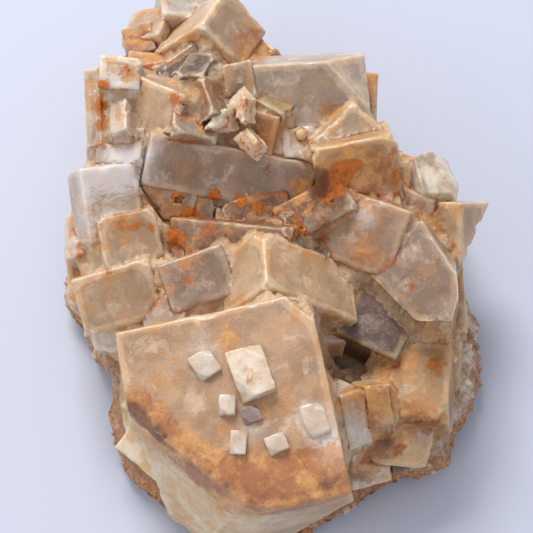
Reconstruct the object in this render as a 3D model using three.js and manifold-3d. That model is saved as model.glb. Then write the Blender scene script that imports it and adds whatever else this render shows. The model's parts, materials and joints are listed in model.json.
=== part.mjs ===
import * as THREE from 'three';
import { mergeVertices } from 'three/addons/utils/BufferGeometryUtils.js';
import Module from 'manifold-3d';

// Fluorite cluster: cubes of fluorite that grew through each other on a crust of host rock.
// Millimetres, +Z up, +X to the right, +Y to the back. The rock rests on the plane z = 0.
// A block is given by its centre, its edge lengths and three turns in degrees: it is rolled
// about its own Y edge, then leaned about X, then turned about the vertical.

const wasm = await Module();
wasm.setup();

// ---------- driving dimensions ----------

// The finished specimen is centred on the origin by moving everything by this much.
const CENTRING = new THREE.Vector3(-1.11, -7.64, 0);
// Clearance between two pieces that touch.
const SEAT = 0.3;

// The rock's plan outline: its radius around ROCK_CENTRE, every 15 degrees from +X.
const ROCK_CENTRE = [0, 3];
const ROCK_RADII = [
  38, 37, 38.5, 41.5, 44, 46, 49, 53, 52, 47, 42.5, 39.5,
  39, 35.5, 33.5, 40.5, 44, 45.5, 47.5, 46.5, 43, 47, 44, 41.5,
];
const ROCK_STEPS = 48;
// The rock's profile from the middle of its flat foot to the middle of its top:
// share of the plan radius, and height.
const ROCK_PROFILE = [
  [0, 0], [0.45, 0], [0.86, 0], [0.96, 2], [1, 5], [0.97, 8.5], [0.86, 11.5], [0.55, 12.5], [0, 12],
];
// The rock is thinnest at the front left: its height there is cut by this share.
const ROCK_THINNING = 0.55;
const ROCK_THIN_SIDE = THREE.MathUtils.degToRad(-105);
// How far the broken surface strays from that profile.
const ROCK_ROUGHNESS = 0.9;

// The massive fluorite that the cubes grew from, as a share of the rock's outline. It reaches
// the rim at the left and the front and stays back at the right, where the rock shows.
const BED_LEFT_SHARE = 0.95;
const BED_RIGHT_SHARE = 0.85;
const BED_PROFILE = [[0, 3], [0.97, 3], [1, 9.5], [0.93, 14], [0.7, 16], [0, 16]];
const BED_ROUGHNESS = 0.5;

// The biggest cube, at the front, with its lower left corner broken away.
const FRONT_CUBE = {
  at: [-4.5, -30, 20.5], size: [33.5, 35, 30], turns: [6, -7, 11],
  cuts: [
    [[-0.74, -0.62, 0.26], [-10, -4.3, 15]],
    [[-0.36, -0.92, 0.12], [2, -16.6, 15]],
    [[0.77, -0.43, -0.47], [16.7, -17.5, 8]],
  ],
};

// The other cubes of the mass: centre, edge lengths, [lean, roll, turn]. A cut is a plane,
// its outward normal and a point on it, in the block's own axes.
const CRYSTALS = {
  long_brick: { at: [-7.57, 20.27, 24.32], size: [31, 9.8, 14.5], turns: [38, 18, -16] },
  brick_foot: { at: [-18.7, 16.38, 23.7], size: [9.6, 6.1, 13.1], turns: [38, 18, -16] },
  brick_step: { at: [-11.82, 15.73, 21.82], size: [3.1, 6.4, 13], turns: [38, 18, -16] },
  brick_terrace: { at: [-8.08, 14.79, 19.14], size: [12.8, 7.5, 11.2], turns: [38, 18, -16] },
  back_slab: {
    at: [8.09, 32.7, 28.91], size: [21, 14.4, 13.5], turns: [40, -1, 4],
    cuts: [[[0.6, 0.5, 0.62], [7.2, 2.1, 6.75]]],
  },
  slab_shoulder: { at: [-4, 32.5, 33.5], size: [5.5, 7, 8], turns: [21, -17, 10] },
  rusty_cube: { at: [16.1, 18.1, 28.2], size: [15, 12.5, 11], turns: [45.3, -8.5, 15.3] },
  grey_pyramid: { at: [15.8, 21.7, 29.2], size: [11, 11, 8], turns: [13.3, -13.8, 45.9] },
  pointed_crystal: {
    at: [33.5, 9.5, 19], size: [11.5, 12, 11.5], turns: [-47, -43, -53],
    cuts: [[[0, 0.72, -0.69], [0, 0, 0]]],
  },
  right_cube: {
    at: [28.7, -4.6, 22.1], size: [19.5, 15, 12], turns: [27, -5, -61],
    cuts: [
      [[0.45, 0.84, -0.32], [4.8, 6.4, 6]],
      [[0.69, 0.62, -0.39], [8.2, 3.8, 6]],
      [[0.78, -0.58, -0.23], [7.8, -0.2, 6]],
      [[0.2, -0.98, 0.1], [1.2, -4, 6]],
    ],
  },
  smoky_cube: { at: [18.3, -7.5, 15.5], size: [11, 10.5, 9], turns: [2.5, 0.6, -27.6] },
  cream_wedge: { at: [4, -4.8, 24], size: [21.5, 12, 12], turns: [-7, 41, 4] },
  plum_cube: { at: [5, 4.5, 23], size: [10, 8.5, 9], turns: [-6, 32, 1] },
  right_inner: { at: [18.6, 7.9, 21.9], size: [15.5, 13, 13], turns: [30, -6, -22] },
  grey_cube: { at: [-11.7, -3.5, 23.1], size: [12, 9.5, 11], turns: [8, -8, 19] },
  amber_block: { at: [-4.7, 4.6, 21], size: [23, 12, 13], turns: [36, -18, -3] },
  left_slab: { at: [-26.5, -4, 20.3], size: [14.5, 10.5, 12], turns: [28, -8, 18] },
  beige_cube: { at: [-25.7, 4.9, 23.6], size: [11, 10, 11], turns: [24, 12, 14] },
  plum_chip: { at: [-17, 4.5, 20.5], size: [5, 7, 7], turns: [10, -9, 7] },
  frosted_cube: { at: [-29.1, 11.4, 26.4], size: [10.5, 13.5, 12], turns: [28, 14, 9] },
  left_glassy: { at: [-30.5, 15, 23.5], size: [5.5, 7.5, 8], turns: [-3, -36, 4] },
  left_grey: { at: [-31.5, 8, 17.5], size: [7.5, 10.5, 10], turns: [-9, -30, 5] },
  brown_cube: { at: [-20.6, 27.7, 29.8], size: [14.5, 14, 12], turns: [38, -8, -24] },
  glassy_top: { at: [-26.5, 32.5, 35], size: [7.5, 6, 8.5], turns: [13, 4, -4] },
  left_prism: { at: [-30.5, 28, 30], size: [3, 15, 9], turns: [10, -14, 4] },
  upper_low: { at: [-25.5, 20, 29], size: [8.5, 7, 10], turns: [7, -10, -6] },
  white_corner: { at: [-25, 24, 33.5], size: [3.5, 8, 7], turns: [-8, -27, 3] },
  peak: { at: [-12.5, 47, 23.5], size: [19.5, 13, 11.5], turns: [-18, -51, -23] },
  peak_lump: { at: [-23.5, 48.5, 21.5], size: [6, 6, 9], turns: [7, -17, 13] },
  peak_foot: { at: [-19.5, 36, 22.5], size: [12, 8, 12], turns: [5, 15, 4] },
  small_pyramid: { at: [-10.5, 27, 34.5], size: [6, 8.5, 7], turns: [-3, 39, 16] },
  pyramid_side: { at: [-12, 33.5, 34], size: [5.5, 6.5, 7], turns: [62, -52, 34] },
  grey_chip: { at: [-14, 22.5, 32.5], size: [8.5, 6.5, 8], turns: [-8, 20, 1] },
  olive_wedge: { at: [1, 29, 32.5], size: [8, 4, 7], turns: [68, 12, -41] },
  sparkling_block: { at: [6.5, 23.5, 26.5], size: [8.5, 5.5, 9], turns: [19, 6, 7] },
  pocket_block: { at: [4, 25, 17.5], size: [13, 12.5, 12], turns: [4, 22, 1] },
  pink_chip: { at: [22, 11, 26], size: [4.5, 6, 6], turns: [0, -4, 6] },
  ridge_back: { at: [21.5, 20, 26.5], size: [3.5, 5.5, 8], turns: [7, 16, 9] },
  ridge_front: { at: [24, 18, 24], size: [3.5, 5.5, 8], turns: [21, 6, 6] },
  hollow_chip: { at: [12, -11.5, 15.5], size: [4, 2.5, 6], turns: [-9, 6, 5] },
  corner_top: { at: [27.5, -19.4, 13.1], size: [12, 14, 12], turns: [6, -10, -5] },
  corner_finger: { at: [13.5, -26, 18.5], size: [4.5, 10, 10], turns: [39, 16, 14] },
  corner_amber: { at: [18.5, -24, 18], size: [5, 7.5, 9], turns: [28, 15, 4] },
  corner_cream: { at: [22.4, -26.2, 10.2], size: [12.5, 11.5, 12], turns: [24, 14, -8] },
  corner_low: { at: [16.5, -30.5, 10], size: [8, 8.5, 10], turns: [45, 24, 3] },
  corner_grey: { at: [22.5, -27.5, 9.5], size: [4.5, 9.5, 9], turns: [43, 22, 4] },
  left_foot: { at: [-32, 2, 12.5], size: [7, 12, 12], turns: [5, -14, 7] },
  left_edge: { at: [-26, -3.5, 13.5], size: [7.5, 11.5, 14], turns: [50, -35, 10] },
  beige_foot: { at: [-24.5, 1.5, 15], size: [10, 7, 12], turns: [9, 4, 10] },
  right_foot: { at: [33.5, -2, 11.5], size: [6.5, 13.5, 10], turns: [6, -4, 2] },
  peak_back: { at: [-14, 55, 18], size: [16, 12, 13], turns: [-24, 14, 8] },
  peak_shoulder: { at: [-21.5, 50.5, 20.5], size: [9, 9, 10], turns: [-12, -28, -16] },
  flank_front_left: { at: [-15.5, -31.5, 7.5], size: [22, 9, 6], turns: [32, 5, -42] },
  flank_right: { at: [30.5, 13, 11], size: [8, 10, 9], turns: [12, 18, 20] },
  flank_corner: { at: [27, 22, 11], size: [11, 10, 9], turns: [-10, 20, -20] },
  flank_back_right: { at: [12, 36, 12], size: [12, 11, 11], turns: [-15, 20, 30] },
  flank_back: { at: [5, 43, 11], size: [12, 10, 12], turns: [-20, -10, -15] },
  flank_left_back: { at: [-25, 41, 16], size: [10, 11, 12], turns: [-15, -25, 15] },
  flank_left: { at: [-27, 26, 14], size: [9, 12, 10], turns: [8, -16, -12] },
  back_bench: { at: [-0.5, 46.5, 19], size: [6, 6, 10], turns: [21, -8, -31] },
  crevice_floor: { at: [-3.5, 24, 28.5], size: [11, 11, 9], turns: [33, 2, -15] },
  right_bench: { at: [18, 26.5, 18.5], size: [6.5, 10, 9.5], turns: [15, 10, 23] },
  inner_bench: { at: [10, 10.5, 23.5], size: [14, 7.5, 11], turns: [4, -19, 25] },
  brick_bench: { at: [-21, 10, 22.5], size: [9, 9, 10], turns: [4, -2, -30] },
  front_bench: { at: [-15.5, -7, 20.5], size: [8.5, 9.5, 12], turns: [15, -22, -9] },
  right_bench_chip: { at: [16.5, 26.5, 21], size: [6.5, 8, 10.5], turns: [25, 15, 19] },
  clear_bench: { at: [25, 13.5, 21], size: [10, 8.5, 11.5], turns: [34, 15, -28] },
  left_bench: { at: [-22, 37.5, 24.5], size: [9.5, 6.5, 9.5], turns: [16, 19, 20] },
  slab_bench: { at: [-4.5, 42.5, 22], size: [9, 8, 9.5], turns: [2, 16, 20] },
  middle_bench: { at: [-2, 11, 21], size: [12.5, 7, 11], turns: [13, 2, 21] },
  peak_bench: { at: [-15, 38.5, 25.5], size: [10, 7, 11], turns: [6, -4, 39] },
  slab_chip: { at: [-4.5, 35, 25.5], size: [7.5, 7, 10.5], turns: [2, 24, 40] },
  slab_foot: { at: [5.5, 41, 19.5], size: [7.5, 8, 8.5], turns: [1, -5, -12] },
};

// Massive fluorite under the cubes, between them and the bed.
const CORES = [
  { at: [0, 8, 12], size: [60, 28, 16], turns: [4, -3, 5] },
  { at: [-4, 30, 14], size: [48, 28, 20], turns: [5, 4, -4] },
];
// The deep pocket between the biggest cube and the smoky cube.
const POCKET = { at: [14.5, -10, 18], size: [8, 12, 18], turns: [10, -14, 6] };

// Pieces that sit in sockets of the mass: the clear crystal at the back right, and three
// fragments of a cream mineral wedged in the crevice behind the long brick.
const SOCKETED = {
  clear_crystal: { at: [30.5, 17.5, 23], size: [8.5, 9, 8], turns: [-2, 16, 11], colour: 0xdcd3c6 },
  cream_blade_left: {
    at: [-8.4, 23.2, 35.6], size: [6, 3, 4], turns: [12, -9, 7], colour: 0xe0c8ac,
    cuts: [[[-0.7, 0.6, 0.4], [-2, 1, 1.4]], [[0.5, -0.7, 0.5], [1.6, -1, 1.6]]],
  },
  cream_blade_right: {
    at: [-2.7, 20.4, 34], size: [3.6, 5.5, 4], turns: [-7, 40, 24], colour: 0xe2cfba,
    cuts: [[[0.6, 0.6, 0.5], [1.2, 1.6, 1.4]]],
  },
  cream_stem: {
    at: [-4.5, 26.3, 37], size: [3.2, 7.5, 3.6], turns: [-8, 45, 34], colour: 0xdcc8ae,
    cuts: [[[-0.6, 0.7, 0.4], [-0.6, 2.6, 1]]],
  },
};

// The rounded resin-yellow grain in the pocket in front of the back slab.
const RESIN_GRAIN = { at: [6.3, 23.1, 31.4], radius: 1.1 };

// Late blocks that sit on the top face of the biggest cube: place on that face, measured
// from its middle, edge lengths, and turn in the face.
const PERCHED = {
  perched_white: { on: [-2.7, 8.5], size: [4, 4.5, 1.2], turn: 20 },
  perched_big: { on: [4.7, 5.3], size: [6, 8.5, 2.6], turn: 8 },
  perched_bud: { on: [-0.2, 0.9], size: [2.8, 3.4, 1.6], turn: -12 },
  perched_lilac: { on: [3.3, -1.5], size: [3, 2.8, 1], turn: 10 },
  perched_low: { on: [0.4, -5.7], size: [2.6, 3.8, 1.2], turn: -15 },
  perched_corner: { on: [6.5, -7.2], size: [3.4, 3, 1.4], turn: 12 },
  perched_right: { on: [13.4, -4.6], size: [4, 5.5, 1.2], turn: 5 },
};
// How much of a perched block's upper corner is worn off, as a share of its size.
const PERCHED_WEAR = 0.36;

// ---------- solids ----------

function toManifold(geometry) {
  geometry.deleteAttribute('normal');
  geometry.deleteAttribute('uv');
  const merged = mergeVertices(geometry, 1e-4);
  const index = merged.index.array;
  const kept = [];
  for (let i = 0; i < index.length; i += 3) {
    const [a, b, c] = index.slice(i, i + 3);
    if (a !== b && b !== c && c !== a) kept.push(a, b, c);
  }
  return new wasm.Manifold(new wasm.Mesh({
    numProp: 3,
    vertProperties: Float32Array.from(merged.attributes.position.array),
    triVerts: Uint32Array.from(kept),
  }));
}

function toGeometry(solid) {
  const mesh = solid.getMesh();
  const geometry = new THREE.BufferGeometry();
  geometry.setAttribute('position', new THREE.BufferAttribute(mesh.vertProperties, 3));
  geometry.setIndex(new THREE.BufferAttribute(mesh.triVerts, 1));
  return geometry;
}

function placing({ at, turns }) {
  const [lean, roll, turn] = turns.map(THREE.MathUtils.degToRad);
  const matrix = new THREE.Matrix4().makeRotationFromEuler(new THREE.Euler(lean, roll, turn, 'ZXY'));
  return matrix.setPosition(...at);
}

// Everything on the outer side of a plane, as a block far bigger than any crystal.
function beyondPlane([normal, point]) {
  const reach = 80;
  const geometry = new THREE.BoxGeometry(reach, reach, reach);
  geometry.translate(0, 0, reach / 2);
  const facing = new THREE.Vector3(...normal).normalize();
  geometry.applyQuaternion(new THREE.Quaternion().setFromUnitVectors(new THREE.Vector3(0, 0, 1), facing));
  geometry.translate(...point);
  return geometry;
}

// A crystal block. grow makes it bigger all round, for the socket that holds it.
function block(spec, grow = 0) {
  const matrix = placing(spec);
  const [x, y, z] = spec.size.map((edge) => edge + 2 * grow);
  let solid = toManifold(new THREE.BoxGeometry(x, y, z).applyMatrix4(matrix));
  for (const [normal, point] of spec.cuts ?? []) {
    const out = new THREE.Vector3(...normal).setLength(grow);
    const moved = new THREE.Vector3(...point).add(out).toArray();
    solid = solid.subtract(toManifold(beyondPlane([normal, moved]).applyMatrix4(matrix)));
  }
  return solid;
}

function rockRadius(angle) {
  const count = ROCK_RADII.length;
  const place = ((angle / (2 * Math.PI)) * count + count) % count;
  const low = Math.floor(place);
  return THREE.MathUtils.lerp(ROCK_RADII[low % count], ROCK_RADII[(low + 1) % count], place - low);
}

// A repeatable number from -1 to 1 for a place on a broken surface.
function strayAt(step, level) {
  const wave = Math.sin(step * 127.1 + level * 311.7) * 43758.5453;
  return 2 * (wave - Math.floor(wave)) - 1;
}

// A broken lump: a lathed profile stretched to the rock's outline, with its surface astray.
// Its foot, at the profile's first height, stays flat. grow moves the rest outwards.
function lump({ profile, share, tallness = () => 1, roughness, grow = 0 }) {
  const points = profile.map(([part, height]) => new THREE.Vector2(part, height));
  const geometry = new THREE.LatheGeometry(points, ROCK_STEPS).rotateX(Math.PI / 2);
  const position = geometry.attributes.position;
  const widest = Math.max(...points.map((point) => point.x));
  const waist = points.find((point) => point.x === widest).y;
  for (let i = 0; i < position.count; i += 1) {
    const step = Math.floor(i / profile.length) % ROCK_STEPS;
    const level = i % profile.length;
    const [part, height] = profile[level];
    const angle = Math.atan2(position.getY(i), position.getX(i));
    const rough = part > 0 ? roughness : 0;
    let radius = 0;
    if (part > 0) radius = part * rockRadius(angle) * share(angle) + strayAt(step, level) * rough + grow;
    let rise = 0;
    if (height > points[0].y) rise = strayAt(step + 90, level) * rough + (height < waist ? -grow : grow);
    position.setXYZ(
      i,
      ROCK_CENTRE[0] + radius * Math.cos(angle),
      ROCK_CENTRE[1] + radius * Math.sin(angle),
      height * (part > 0 ? tallness(angle) : 1) + rise,
    );
  }
  return toManifold(geometry);
}

function rock(grow) {
  const tallness = (angle) => 1 - ROCK_THINNING * Math.max(0, Math.cos(angle - ROCK_THIN_SIDE));
  return lump({ profile: ROCK_PROFILE, share: () => 1, tallness, roughness: ROCK_ROUGHNESS, grow });
}

function bed() {
  const share = (angle) => {
    const rightness = Math.max(0, Math.cos(angle + 0.35));
    return THREE.MathUtils.lerp(BED_LEFT_SHARE, BED_RIGHT_SHARE, rightness);
  };
  return lump({ profile: BED_PROFILE, share, roughness: BED_ROUGHNESS });
}

function grain(grow) {
  const ball = new THREE.IcosahedronGeometry(RESIN_GRAIN.radius + grow, 2);
  return toManifold(ball.translate(...RESIN_GRAIN.at));
}

// A block that sits on the biggest cube's top face, with two upper corners worn off.
function perchedBlock({ on, size, turn }) {
  const [x, y, z] = size;
  const wear = [x, y, z].map((edge) => edge * (0.5 - PERCHED_WEAR / 2));
  const own = {
    at: [0, 0, 0], size, turns: [0, 0, turn],
    cuts: [
      [[0.5, 0.5, 0.7], wear],
      [[-0.6, -0.4, 0.7], [-wear[0], -wear[1], wear[2]]],
    ],
  };
  const seat = FRONT_CUBE.size[2] / 2 + SEAT + z / 2;
  const onFace = new THREE.Matrix4().makeTranslation(on[0], on[1], seat);
  const geometry = toGeometry(block(own)).applyMatrix4(placing(FRONT_CUBE).multiply(onFace));
  return toManifold(geometry);
}

// ---------- pieces ----------

const group = new THREE.Group();

function addPiece(name, solid, colour, roughness) {
  const material = new THREE.MeshStandardMaterial({ color: colour, roughness, metalness: 0 });
  const mesh = new THREE.Mesh(toGeometry(solid), material);
  mesh.name = name;
  mesh.position.copy(CENTRING);
  group.add(mesh);
}

// All the cubes that grew through each other are one solid.
let mass = bed();
for (const spec of CORES) mass = mass.add(block(spec));
mass = mass.subtract(block(POCKET));
for (const spec of [FRONT_CUBE, ...Object.values(CRYSTALS)]) mass = mass.add(block(spec));
mass = mass.subtract(rock(SEAT)).subtract(grain(SEAT));
for (const spec of Object.values(SOCKETED)) mass = mass.subtract(block(spec, SEAT));
// A pore closed in on every side is grown shut: only the outer skin is kept.
mass = mass.decompose().reduce((a, b) => (a.volume() > b.volume() ? a : b));

addPiece('fluorite_mass', mass, 0xbfa892, 0.4);
addPiece('host_rock', rock(0), 0x8a6747, 0.9);
addPiece('resin_grain', grain(0), 0xd0a060, 0.35);
// Where two of the wedged fragments meet, the later one ends at the earlier one.
const wedged = [];
for (const [name, spec] of Object.entries(SOCKETED)) {
  let piece = block(spec);
  for (const earlier of wedged) piece = piece.subtract(block(earlier, SEAT));
  addPiece(name, piece, spec.colour, 0.35);
  wedged.push(spec);
}
for (const [name, spec] of Object.entries(PERCHED)) addPiece(name, perchedBlock(spec), 0xd8c8b4, 0.5);

export default group;
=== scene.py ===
import json
import math

import bmesh
import bpy
import numpy as np
from mathutils import Matrix, Vector, noise

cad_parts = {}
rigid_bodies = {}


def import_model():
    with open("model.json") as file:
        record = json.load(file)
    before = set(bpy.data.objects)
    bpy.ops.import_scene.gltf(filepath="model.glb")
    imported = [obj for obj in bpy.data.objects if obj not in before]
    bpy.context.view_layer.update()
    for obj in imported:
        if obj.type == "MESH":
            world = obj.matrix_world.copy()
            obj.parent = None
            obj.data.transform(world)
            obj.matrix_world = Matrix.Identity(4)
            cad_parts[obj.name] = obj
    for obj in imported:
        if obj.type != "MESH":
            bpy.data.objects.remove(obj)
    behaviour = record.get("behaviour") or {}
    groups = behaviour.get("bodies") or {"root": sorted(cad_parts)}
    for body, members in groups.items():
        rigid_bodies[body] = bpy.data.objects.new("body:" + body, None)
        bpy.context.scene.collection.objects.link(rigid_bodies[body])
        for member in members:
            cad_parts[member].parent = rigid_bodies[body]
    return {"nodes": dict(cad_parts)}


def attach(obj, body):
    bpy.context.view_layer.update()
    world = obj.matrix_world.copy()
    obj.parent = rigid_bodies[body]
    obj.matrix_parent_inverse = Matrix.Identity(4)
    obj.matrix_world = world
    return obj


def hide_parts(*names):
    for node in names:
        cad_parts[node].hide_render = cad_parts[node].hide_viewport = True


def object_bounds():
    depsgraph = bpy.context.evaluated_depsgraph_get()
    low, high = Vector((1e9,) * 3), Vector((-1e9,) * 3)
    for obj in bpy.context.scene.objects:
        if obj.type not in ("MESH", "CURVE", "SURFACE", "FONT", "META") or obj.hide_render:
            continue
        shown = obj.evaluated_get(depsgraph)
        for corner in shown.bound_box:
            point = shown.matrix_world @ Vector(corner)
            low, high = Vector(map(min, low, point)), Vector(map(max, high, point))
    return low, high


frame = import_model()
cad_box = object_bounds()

# ---------------------------------------------------------------- fluorite cubes
# Cloudy, rust-stained cubes of fluorite that grew through each other on the host rock, with
# massive fluorite in the joints between them. They are one closed mesh: worn and chipped
# blocks are joined with a bed and a fill, and the rock and the sockets are cut away.

MM = 0.001
FLUORITE_IOR = 1.434
# The tables give places in the layout's own millimetres; this brings them to the middle of
# the specimen's box.
SHIFT = np.array([-1.11, -7.64, 0.0])

# How each kind of fluorite looks before its stains, 0-255.
SHADES = {
    "smoky": (106, 80, 68),
    "plum": (142, 108, 94),
    "umber": (152, 112, 82),
    "grey": (172, 148, 134),
    "brown": (182, 138, 104),
    "beige": (204, 172, 146),
    "amber": (208, 150, 96),
    "honey": (224, 182, 130),
    "rose": (226, 190, 158),
    "cream": (234, 206, 176),
    "glassy": (216, 198, 188),
    "white": (236, 228, 224),
    "olive": (192, 172, 124),
    "pale": (224, 206, 192),
    "sand": (208, 190, 168),
    "taupe": (196, 170, 154),
}

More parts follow.
